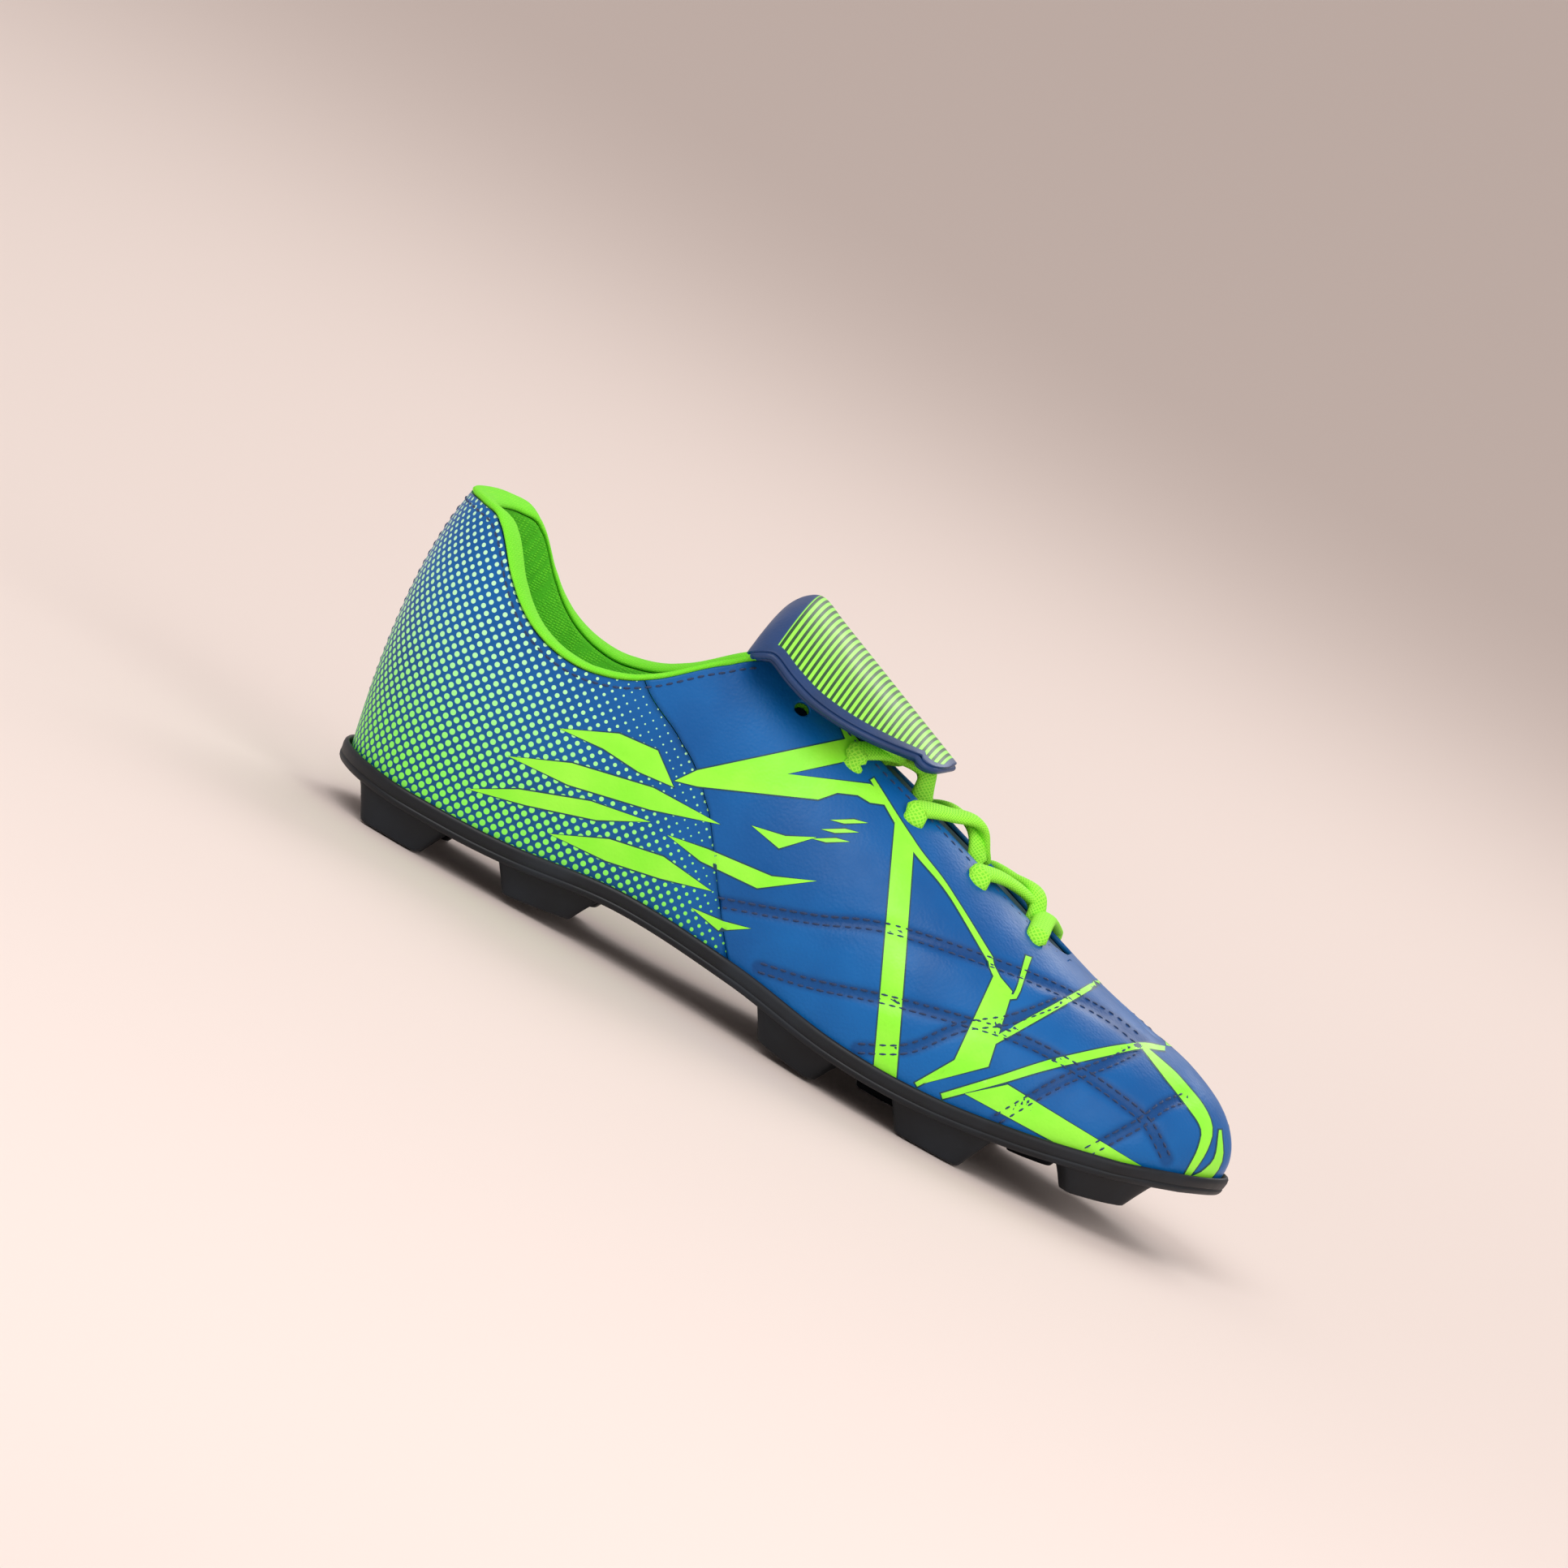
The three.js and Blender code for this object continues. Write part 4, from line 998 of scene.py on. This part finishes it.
def build_print(skin):
    lines = [strip(smooth_line(points, 2.0), widths) for points, widths in PRINT_LINES]
    shapes = PRINT_SHAPES + lines + SHARDS + BARS
    points, faces, indices = [], [], []
    for side in (-1, 1):
        for shape in shapes:
            for index, (by, lift) in enumerate(((0.0, 0.13), (0.42, 0.07))):
                p, f = decal(skin, grown(shape, by) if by else shape, side, lift)
                faces += [[i + len(points) for i in t] for t in f]
                indices += [index] * len(f)
                points += p
    obj = make_object("upper_print", points, faces, [INK, INK_EDGE], indices=indices)
    return finish_piece(obj, "boot", "upper")


STITCH = {"length": 2.3, "pitch": 3.1, "radius": 0.34, "around": 6}
# share of a stitch's length, share of its radius, and how deep it is sunk there
BEAD = ((0, 0.25, 0.9), (0.14, 0.8, 0.35), (0.5, 1, 0), (0.86, 0.8, 0.35), (1, 0.25, 0.9))


def capsule(a, b, normal, radius):
    """A sunk stitch from a to b: rings of a slim bead."""
    way = b - a
    size = np.linalg.norm(way)
    way = way / size
    out = normal - way * np.dot(normal, way)
    out /= np.linalg.norm(out)
    across = np.cross(way, out)
    around = STITCH["around"]
    angle = np.linspace(0, 2 * math.pi, around, endpoint=False)[:, None]
    rings = []
    for share, fat, sink in BEAD:
        centre = a + way * size * share - out * radius * sink
        rings.append(centre + (np.cos(angle) * across + np.sin(angle) * out) * radius * fat)
    return np.concatenate(rings)


def stitch_pieces(name, runs, material, slot):
    """Stitches from point to point, each with the skin's normal."""
    faces = rod_faces(len(BEAD), STITCH["around"], turned=True)
    bodies = [(capsule(a, b, normal, STITCH["radius"]), faces) for a, b, normal in runs]
    return finish_piece(make_object(name, *joined(bodies), [material]), "boot", slot)


def thread_runs(skin, line, side, offset):
    way = np.gradient(line, axis=0)
    way /= np.linalg.norm(way, axis=1)[:, None]
    moved = line + np.stack([-way[:, 1], way[:, 0]], -1) * offset
    landed = [skin.land(u, w, side, 0.1) for u, w in smooth_line(moved, 0.5)]
    landed = [f for f in landed if f is not None]
    if len(landed) < 4:
        return []
    p = np.array([f[0] for f in landed])
    n = np.array([f[1] for f in landed])
    step = np.linalg.norm(np.diff(p, axis=0), axis=1)
    length = np.concatenate([[0], np.cumsum(np.minimum(step, 3))])
    runs = []
    for start in np.arange(0, length[-1] - STITCH["length"], STITCH["pitch"]):
        i, k = np.searchsorted(length, [start, start + STITCH["length"]])
        if k < len(p) and np.linalg.norm(p[k] - p[i]) < STITCH["length"] * 1.6:
            runs.append((p[i], p[k], n[(i + k) // 2]))
    return runs


def edge_runs(side, stations, angle_of, lift=0.12):
    """Stitches along an edge of the shell."""
    angle = angle_of(side, stations)
    p = on_last(side, stations, angle, -lift)
    q = on_last(side, stations, angle, -lift - 1)
    length = np.concatenate([[0], np.cumsum(np.linalg.norm(np.diff(p, axis=0), axis=1))])
    runs = []
    for start in np.arange(0, length[-1] - STITCH["length"], STITCH["pitch"]):
        spots = [start, start + STITCH["length"]]
        first, last = np.stack([np.interp(spots, length, p[:, k]) for k in range(3)], -1)
        i = min(np.searchsorted(length, start), len(p) - 1)
        runs.append((first, last, q[i] - p[i]))
    return runs


def build_stitches(skin):
    runs = []
    for side in (-1, 1):
        for line in ROW_LINES:
            for offset in (-ROW_GAP / 2, ROW_GAP / 2):
                runs += thread_runs(skin, line, side, offset)
        collar = np.linspace(0.12, CORNER - 0.1, 300)
        runs += edge_runs(side, collar, lambda s, t: collar_angle(s, t, 4.6))
        throat = np.linspace(CORNER + 0.15, THROAT_END - 0.1, 300)
        runs += edge_runs(side, throat, lambda s, t: angle_at_half_width(s, t, throat_half(t) + 2.6))
        high = float(collar_angle(side, 0.15, 5.0))
        heel = np.linspace(0.14, high, 200)
        runs += edge_runs(side, np.full(200, 0.13), lambda s, t: heel)
    stitch_pieces("upper_stitching", runs, THREAD, "upper")


# ---------------------------------------------------------------- tongue and flap

FLAP_LENGTH, FLAP_HALF_WIDTH, FLAP_SLOPE, FLAP_ARCH = 61.5, 36, -0.41, 40
FLAP_FOLD = np.array([[0, 0, 0.62], [-0.4, 4, 0.8], [0.8, 9.2, 0.93], [4, 13.4, 0.99], [8.4, 15, 1]])
FLAP_RUN = np.array([
    [0.14, 1], [0.3, 0.97], [0.5, 0.86], [0.7, 0.68], [0.86, 0.46], [0.96, 0.26], [1, 0.12]])
FLAP_LAYERS = {"face": (0.0, 0.9), "back": (2.4, 3.3)}
HINGE = np.array([97.6, 0.4711, 103.536])
NECK_GAP = 0.8
NECK_LAYER, NECK_HALF, NECK_LENGTH, NECK_BEND = (1.0, 2.2), 13, 7.0, (-3.0, 3.5)
# rows of the neck below the hinge: forward, up, and share of the width
NECK_LEADS = [(5.2, -6.4, 0.94), (3.4, -5.0, 0.95), (1.8, -3.4, 0.96), (0.7, -1.9, 0.97), (0.2, -0.8, 0.98)]
RIM_RADIUS, RIM_START = 1.0, 9
TONGUE_NECK = float(station_of_spine(99))
TONGUE_FRONT = float(station_of_spine(THROAT_END_X + 8))


def build_tongue():
    def wing(side, station):
        held = np.clip(station, CORNER, THROAT_END - 0.25)
        most = section_point(section(side, station), 0.5)[0]
        wide = np.minimum(throat_half(held) + 12, most)
        wide = np.where(station < CORNER, np.minimum(wide, 26), wide)
        return angle_at_half_width(side, station, wide)

    def layer(name, nodes, top, thick, material, slot):
        bodies = []
        for side in (-1, 1):
            u = np.linspace(0, 1, 110)[:, None]
            v = np.linspace(0, 1, 34)[None, :]
            station = TONGUE_NECK + (TONGUE_FRONT - TONGUE_NECK) * u + 0 * v
            low = wing(side, station)
            angle = low + (UP - low) * v
            soft = 0.25 * np.sin(station * 11) * np.sin(v * math.pi)
            outer = on_last(side, station, angle, top + soft)
            inner = on_last(side, station, angle, top + thick + soft)
            bodies.append(slab(outer, inner, side > 0))
        art = [side * np.abs(p[:, 1] - spine_y(p[:, 0])) for side, (p, _) in zip((-1, 1), bodies)]
        obj = make_object(name, *joined(bodies), [material], attributes={"art_v": np.concatenate(art)})
        merged(obj, walls=True)
        return finish_piece(obj, "boot", slot, *nodes)

    layer("tongue_skin", ["tongue_outer"], TONGUE_TOP, TONGUE_SKIN, TONGUE_LOOK, "tongue")
    layer("tongue_back", ["tongue_lining"], TONGUE_TOP + TONGUE_SKIN + TONGUE_FOAM + 2 * CLEAR, TONGUE_SKIN,
          LINING_LOOK, "lining")


def flap_middle():
    """Points along the middle of the flap's face, with the half width at each."""
    start = HINGE + [0, 0, NECK_GAP]
    rows = [[*(start + [x, 0, z]), share] for x, z, share in FLAP_FOLD]
    crest = np.array(rows[-1][:3])
    run = FLAP_LENGTH / math.hypot(1, FLAP_SLOPE)
    rows += [[*(crest + [run * t, 0, run * t * FLAP_SLOPE]), share] for t, share in FLAP_RUN]
    return np.array(rows)


def flap_sheet(depth_out, depth_in):
    """Grids of one flap layer, with the distance along it and from its edge."""
    rows = flap_middle()
    fine = smooth_line(rows, 0.8)
    half = fine[:, 3] * FLAP_HALF_WIDTH
    share = np.linspace(0, 1, len(fine))
    end = np.clip((share - 0.9) / 0.1, 0, 1)
    tip = np.interp(0.9, share, half) * np.sqrt(1 - end ** 2) + 1.5
    half = np.where(end > 0, tip, half)
    way = np.gradient(fine[:, :3], axis=0)
    way /= np.linalg.norm(way, axis=1)[:, None]
    inward = np.stack([way[:, 2], 0 * way[:, 0], -way[:, 0]], -1)
    far = np.concatenate([[0], np.cumsum(np.linalg.norm(np.diff(fine[:, :3], axis=0), axis=1))])
    across = np.sin(np.linspace(-UP, UP, 61))

    def sheet(depth):
        base = fine[:, :3] + inward * depth
        y = across[None, :] * half[:, None]
        x = np.broadcast_to(base[:, :1], y.shape)
        z = base[:, 2:] - y ** 2 / (2 * FLAP_ARCH)
        return np.stack([x, y + base[:, 1:2], z], -1)

    rim = half[:, None] * (1 - np.abs(across[None, :]))
    rim = np.minimum(rim, (far[-1] - far)[:, None] + 0 * rim)
    outer, inner = sheet(depth_out), sheet(depth_in)
    return outer, inner, far[:, None] + 0 * rim, rim


def extend(grid, leads):
    """Rows put before the first one, moved and narrowed from it."""
    first = grid[0]
    middle = first[len(first) // 2]
    extra = []
    for dx, dz, share in leads:
        row = first.copy()
        row[:, 1] = middle[1] + (first[:, 1] - middle[1]) * share
        row[:, 0] += dx
        row[:, 2] = first[:, 2] + dz
        extra.append(row)
    return np.concatenate([np.array(extra), grid])


def build_flap():
    nodes = {"face": "tongue_flap_outer", "back": "tongue_flap_lining"}
    looks = {"face": FLAP_LOOK, "back": DARK}
    for key, (out, into) in FLAP_LAYERS.items():
        outer, inner, far, rim = flap_sheet(out, into)
        p, f = slab(outer, inner)
        obj = make_object("flap_" + key, p, f, [looks[key]], attributes={
            "flap_far": np.tile(far.ravel(), 2), "flap_rim": np.tile(rim.ravel(), 2)})
        finish_piece(merged(obj, 0.005), "tongue_flap", "flap", nodes[key])
    build_neck()
    build_flap_rim()


def build_neck():
    """The fabric of the neck: the start of the flap's sheet, cut narrower and run on down below the hinge.
    """
    outer, inner, far, _ = flap_sheet(*NECK_LAYER)
    rows = int(np.searchsorted(far[:, 0], NECK_LENGTH))
    held = np.abs(outer[0, :, 1] - HINGE[1]) < NECK_HALF
    p, f = slab(extend(outer[:rows, held], NECK_LEADS), extend(inner[:rows, held], NECK_LEADS))
    obj = merged(make_object("tongue_neck", p, f, [DARK]), 0.005)
    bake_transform(obj)


def tube(path, radius, around):
    """Points and faces of a round tube along a path."""
    p = np.asarray(path, float)
    way = np.gradient(p, axis=0)
    way /= np.linalg.norm(way, axis=1)[:, None]
    normal = np.cross(way[0], [0, 0, 1.0])
    normal /= np.linalg.norm(normal)
    rings = []
    angle = np.linspace(0, 2 * math.pi, around, endpoint=False)[:, None]
    for i in range(len(p)):
        normal = normal - way[i] * np.dot(normal, way[i])
        normal /= np.linalg.norm(normal)
        other = np.cross(way[i], normal)
        r = radius[i] if np.ndim(radius) else radius
        rings.append(p[i] + (np.cos(angle) * normal + np.sin(angle) * other) * r)
    return np.concatenate(rings), rod_faces(len(p), around)


def build_flap_rim():
    """The rolled edge round the flap."""
    outer, inner, far, _ = flap_sheet(FLAP_LAYERS["face"][0], FLAP_LAYERS["back"][1])
    first = int(np.argmin(np.abs(far[:, 0] - RIM_START)))
    middle = (outer + inner) / 2
    path = np.concatenate([middle[first:, 0], middle[-1, 1:-1], middle[first:, -1][::-1]])
    path = smooth_line(path[::3], 0.9)
    obj = make_object("flap_rim", *tube(path, RIM_RADIUS, 12), [DARK])
    finish_piece(obj, "tongue_flap", "flap")


# ---------------------------------------------------------------- lace

OVER = LACE / 2 + CLEAR
UNDER = -(LINING_UNDER + 2 * CLEAR + LACE / 2)
TURN = (OVER - UNDER) / 2
TURN_SLACK = 0.95
SPINE = 1000  # an inward distance that always reaches the spine
LACE_WIDE, LACE_THICK = (4.4, 6.7), (2.7, 3.15)  # squeezed in an eyelet, and free
# eyelet, forward, inward and height of the points of a lace end, under the flap
LACE_END = [
    [1, 1.5, 10.5, -6.1], [1, 7, 14.5, -0.5], [1, 9.5, 12, 3.4], [1, 7, 8, 6.4], [1, -2, 5, 7.4],
    [1, -12, 4.5, 7], [1, -20, 5, 6]]


def lace_point(side, eyelet, forward, inward, height):
    station = station_of_spine(EYELET_X[eyelet] + forward)
    half = throat_half(station_of_spine(EYELET_X[eyelet])) + EYELET_EDGE
    angle = angle_at_half_width(side, station, half - inward) if inward < half else UP
    base = on_last(side, station, angle)
    out = on_last(side, station, angle, -1.0) - base
    return np.concatenate([base + out * height, out])


def lace_half(first):
    points = [lace_point(first, *entry) for entry in LACE_END][::-1]
    raised = OVER + 0.3 if first < 0 else OVER + LACE + 0.3
    side = first
    for eyelet in range(1, len(EYELET_X)):
        for t in (1, 0.84, 0.67, 0.5, 0.33, 0.16, 0):
            a = math.pi * t
            inward = TURN * (1 - math.sin(a)) - TURN_SLACK
            points.append(lace_point(side, eyelet, 0, inward, (OVER + UNDER) / 2 + TURN * math.cos(a)))
        if eyelet == len(EYELET_X) - 1:
            break
        points.append(lace_point(side, eyelet, 8, 11, OVER + 0.6))
        points.append(lace_point(side, eyelet, 18, SPINE, raised))
        side = -side
        points.append(lace_point(side, eyelet + 1, -0.5, 10.5, UNDER - 0.4))
    return points


def lace_frames(path, out):
    """A steady width direction along the lace that lies flat on the boot where it crosses."""
    way = np.gradient(path, axis=0)
    way /= np.linalg.norm(way, axis=1)[:, None]
    normals = [out[0] - way[0] * np.dot(out[0], way[0])]
    for i in range(1, len(path)):
        n = normals[-1] - way[i] * np.dot(normals[-1], way[i])
        normals.append(n / np.linalg.norm(n))
    normals = np.array(normals)
    normals[0] /= np.linalg.norm(normals[0])
    want = out - way * np.sum(out * way, 1)[:, None]
    flat = np.linalg.norm(want, axis=1)
    want /= np.maximum(flat, 1e-6)[:, None]
    side = np.cross(way, normals)
    angle = np.arctan2(np.sum(want * side, 1), np.sum(want * normals, 1))
    angle = (angle + UP) % math.pi - UP
    weight = np.clip((flat - 0.8) / 0.15, 0, 1)
    kernel = np.exp(-np.linspace(-2.2, 2.2, 31) ** 2)
    top = np.convolve(angle * weight, kernel, "same")
    base = np.convolve(weight, kernel, "same")
    turn = np.where(base > 1e-3, top / np.maximum(base, 1e-3), 0)
    cos, sin = np.cos(turn)[:, None], np.sin(turn)[:, None]
    return way, normals * cos + side * sin


def build_lace(skin):
    lateral, medial = lace_half(-1), lace_half(1)
    bar = lace_point(-1, len(EYELET_X) - 1, 1, SPINE, OVER + 0.6)
    control = np.array(lateral + [bar] + medial[::-1])
    fine = smooth_line(control, 0.9)
    path, out = fine[:, :3], fine[:, 3:]
    out /= np.linalg.norm(out, axis=1)[:, None]
    way, normal = lace_frames(path, out)
    across = np.cross(way, normal)
    far = np.concatenate([[0], np.cumsum(np.linalg.norm(np.diff(path, axis=0), axis=1))])
    height = np.array([skin.height(p) for p in path])
    freed = np.clip((height + 1.2) / 2.0, 0, 1)
    width = LACE_WIDE[0] + (LACE_WIDE[1] - LACE_WIDE[0]) * freed
    thick = LACE_THICK[0] + (LACE_THICK[1] - LACE_THICK[0]) * freed
    around = 20
    angle = np.linspace(0, 2 * math.pi, around, endpoint=False)
    c, s = np.cos(angle), np.sin(angle)
    cx, sx = np.sign(c) * np.abs(c) ** 0.85, np.sign(s) * np.abs(s) ** 0.9
    rings = path[:, None] + across[:, None] * (cx[None, :, None] * width[:, None, None] / 2) \
        + normal[:, None] * (sx[None, :, None] * thick[:, None, None] / 2)
    half = around // 2
    rising, falling = np.linspace(0, 7, half, endpoint=False), np.linspace(7, 0, half, endpoint=False)
    round_mm = np.concatenate([rising, falling])
    attributes = {"lace_far": np.repeat(far, around), "lace_round": np.tile(round_mm, len(path))}
    obj = make_object("lace_braid", rings, rod_faces(len(path), around), [BRAID], attributes=attributes)
    finish_piece(merged(obj, 0.002), "boot", "lace", "lace")
    for name, end, step in (("lateral", 0, 1), ("medial", len(path) - 1, -1)):
        build_aglet(name, path[end], -way[end] * step)


def build_aglet(name, start, way):
    """A crimped plastic tip."""
    share = np.array([0, 0.02, 0.1, 0.16, 0.2, 0.5, 0.86, 0.95, 1.0])
    fat = np.array([1.2, 1.5, 1.62, 1.45, 1.6, 1.55, 1.5, 1.3, 0.8])
    path = start + way * (0.3 + share[:, None] * 12)
    obj = make_object("aglet_tip_" + name, *tube(path, fat, 18), [AGLET_LOOK])
    finish_piece(obj, "boot", "aglet", "aglet_" + name)


# ---------------------------------------------------------------- bottom

RIM, LIP, PLATE, PLATE_FLARE, LIP_CLEAR, SEAT_CLEAR = 3, 1.5, 2.5, 1.2, 1.0, 0.5
# The lip that rises round the upper: share of its height, and thickness there
LIP_SHAPE = [(0.5, 0), (1, 0), (1.06, 0.35), (1.03, 0.85), (0.9, 1.25), (0.6, LIP), (0.2, LIP)]
# The plate's flank under it, with a fine groove: out from the lip's face, and drop
FLANK_SHAPE = [(0.02, 0.1), (-0.28, 0.3), (-0.28, 0.55), (0.02, 0.75), (-0.05, 1.2), (-0.25, 1.8),
               (-0.7, PLATE * 0.92), (-PLATE_FLARE, PLATE)]
RIB_Y, RIB_RADIUS = (-9, 8), 1.7
# x, y, turn in degrees, length, width, height, and whether the tip stands flat on the ground
STUDS = [
    [31, -23, -7, 29, 13, 0, True], [78, -23.5, 3, 31, 12, 9.2, False], [164, -34.5, -12, 29, 12, 9, False],
    [212, -38.5, 3, 31, 13, 0, True], [259, -24, 33, 28, 12, 8.2, False], [31, 23, 7, 29, 13, 0, True],
    [78, 22, -3, 31, 12, 9.2, False], [168, 30, 17, 29, 12, 9, False], [213, 37, 0, 31, 13, 0, True],
    [257, 28, -28, 28, 12, 8.2, False], [190, -2, 0, 22, 12, 8.4, False], [236, 3, 0, 20, 12, 7, False]]


def plate_ring(side, station):
    s = section(side, station)
    rim = np.arcsin(RIM / (s["high"] - s["low"]))

    def level(reach, drop):
        x = s["x"] + s["dx"] * reach
        return np.array([x, s["y"] + s["dy"] * reach, along(SOLE_LINE, x) - SEAT_CLEAR - drop])

    edge = s["run"] + LIP_CLEAR
    out = edge + LIP
    spots = [level(0, 0), level(edge * 0.5, 0), level(edge, 0)]
    for share, thick in LIP_SHAPE:
        spots.append(on_last(side, station, rim * share, -LIP_CLEAR - thick))
    spots += [level(out + reach, drop) for reach, drop in FLANK_SHAPE]
    return spots + [level(edge * share, PLATE) for share in (0.75, 0.5, 0.25, 0)]


def stud_mesh(x, y, degrees, long, wide, height, flat):
    turn = math.radians(degrees)
    around = 56
    a = np.linspace(0, 2 * math.pi, around, endpoint=False)
    px = np.sign(np.cos(a)) * np.abs(np.cos(a)) ** 0.42 * long / 2
    py = np.sign(np.sin(a)) * np.abs(np.sin(a)) ** 0.42 * wide / 2
    levels = [(1.07, -0.2), (1.03, 0.03), (0.985, 0.12), (0.84, 0.5), (0.7, 0.9), (0.675, 0.965),
              (0.63, 0.99), (0.55, 1.0), (0.25, 1.0), (0.0, 1.0)]
    rings = []
    for share, fall in levels:
        wx = x + (px * math.cos(turn) - py * math.sin(turn)) * share
        wy = y + (px * math.sin(turn) + py * math.cos(turn)) * share
        base = along(SOLE_LINE, wx) - SEAT_CLEAR - PLATE + 0.1
        tip = 0 * wx + 0.0 if flat else along(SOLE_LINE, wx) - CLEAR - PLATE - height
        rings.append(np.stack([wx, wy, base + (tip - base) * fall], -1))
    return np.concatenate(rings), grid_faces(len(levels), around, closed=True, flip=True)


def build_sole():
    stations = np.linspace(0, TOE, 230)
    bodies = []
    for side in (-1, 1):
        rings = np.array([plate_ring(side, t) for t in stations])
        bodies.append((rings, grid_faces(len(stations), rings.shape[1], flip=side < 0)))
    bodies += [stud_mesh(*entry) for entry in STUDS]
    for y in RIB_Y:
        x = np.linspace(96, 160, 60)
        lift = np.sin(math.pi * np.linspace(0.02, 0.98, 60)) ** 0.6
        path = np.stack([x, 0 * x + y, along(SOLE_LINE, x) - SEAT_CLEAR - PLATE - 0.9 * lift], -1)
        bodies.append(tube(path, RIB_RADIUS * np.maximum(lift, 0.3), 14))
    obj = make_object("outsole_moulding", *joined(bodies), [SOLE])
    finish_piece(merged(obj, 0.01), "boot", "outsole", "outsole")


def build_footbed():
    """The cloth-covered footbed top, dished under the heel and the arch."""
    inside = LINING_UNDER + 2 * CLEAR + 0.4
    rise = CLEAR + 2 + CLEAR + 4.5 + CLEAR
    stations = np.linspace(0, TOE, 150)
    share = np.linspace(1, 0, 26)
    bodies = []
    for side in (-1, 1):
        s = section(side, stations)
        reach = (s["run"] - inside)[:, None] * share
        x = s["x"][:, None] + s["dx"][:, None] * reach
        y = s["y"][:, None] + s["dy"][:, None] * reach
        z = along(SOLE_LINE, x) + rise
        top = np.stack([x, y, z + 0.8 + 0.9 * share ** 4], -1)
        bodies.append(slab(top, np.stack([x, y, z], -1), side > 0))
    obj = merged(make_object("footbed_top", *joined(bodies), [LINING_LOOK]), walls=True)
    finish_piece(obj, "boot", "lining", "footbed_cover")


def dress_hidden():
    """Looks for the CAD nodes that stay."""
    foams = ("footbed", "vamp_foam_lateral", "vamp_foam_medial", "collar_foam", "tongue_foam",
             "tongue_flap_foam")
    boards = ("toe_puff", "heel_counter", "eyestay_reinforcement_lateral", "eyestay_reinforcement_medial")
    looks = {"insole_board": BOARD_LOOK, **dict.fromkeys(foams, FOAM_LOOK),
             **dict.fromkeys(boards, STIFFENER_LOOK)}
    for name, material in looks.items():
        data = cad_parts[name].data
        data.materials.clear()
        data.materials.append(material)


# ---------------------------------------------------------------- stage

FRAME_WIDTH = 453.5  # across the view at the boot
ROLL = math.radians(28.6)
FRAME_SHIFT = 17.37  # from the middle of the view to the print plane's zero, to the right and down
LENS, SENSOR = 300.0, 36.0
FLOOR_HALF, FLOOR_LEVEL = 30, -0.0004  # metres


def build_camera():
    camera = bpy.data.objects.new("camera", bpy.data.cameras.new("camera"))
    bpy.context.scene.collection.objects.link(camera)
    x_axis = RIGHT * math.cos(ROLL) + RISE * math.sin(ROLL)
    y_axis = -RIGHT * math.sin(ROLL) + RISE * math.cos(ROLL)
    aim = ART_ZERO + ORIGIN - x_axis * FRAME_SHIFT + y_axis * FRAME_SHIFT
    distance = FRAME_WIDTH / SENSOR * LENS
    place = (aim - INWARD * distance) * MM
    turn = Matrix((x_axis, y_axis, -INWARD)).transposed().to_4x4()
    camera.matrix_world = Matrix.Translation(Vector(place)) @ turn
    camera.data.lens = LENS
    camera.data.sensor_width = SENSOR
    camera.data.clip_end = 100
    bpy.context.scene.camera = camera


def area_light(name, place, size, power, color=(1, 1, 1)):
    data = bpy.data.lights.new(name, "AREA")
    data.shape = "DISK"
    data.size = size
    data.energy = power
    data.color = color
    light = bpy.data.objects.new(name, data)
    bpy.context.scene.collection.objects.link(light)
    light.location = place
    light.rotation_euler = (Vector((0, 0, 0.05)) - Vector(place)).to_track_quat("-Z", "Y").to_euler()


def build_stage():
    look = Look("floor_pale", "E6D8D1", 0.85)
    mesh = bpy.data.meshes.new("floor")
    square = ((-1, -1), (1, -1), (1, 1), (-1, 1))
    corners = [(x * FLOOR_HALF, y * FLOOR_HALF, FLOOR_LEVEL) for x, y in square]
    mesh.from_pydata(corners, [], [(0, 1, 2, 3)])
    mesh.materials.append(look.material)
    floor = bpy.data.objects.new("floor", mesh)
    bpy.context.scene.collection.objects.link(floor)
    world = bpy.data.worlds.new("studio")
    world.use_nodes = True
    world.node_tree.nodes["Background"].inputs["Color"].default_value = rgb("F0E6E2")
    world.node_tree.nodes["Background"].inputs["Strength"].default_value = 0.7
    bpy.context.scene.world = world
    area_light("key", (-0.5, -1.3, 1.5), 1.3, 17)
    area_light("fill", (0.9, -0.8, 0.7), 1.0, 4.5)
    area_light("back", (0.2, 1.2, 1.2), 1.0, 8)
    bpy.context.scene.view_settings.view_transform = "Standard"


build_camera()
skin = Skin(build_upper())
build_collar()
build_print(skin)
build_stitches(skin)
build_tongue()
build_flap()
build_lace(skin)
build_sole()
build_footbed()
dress_hidden()
build_stage()
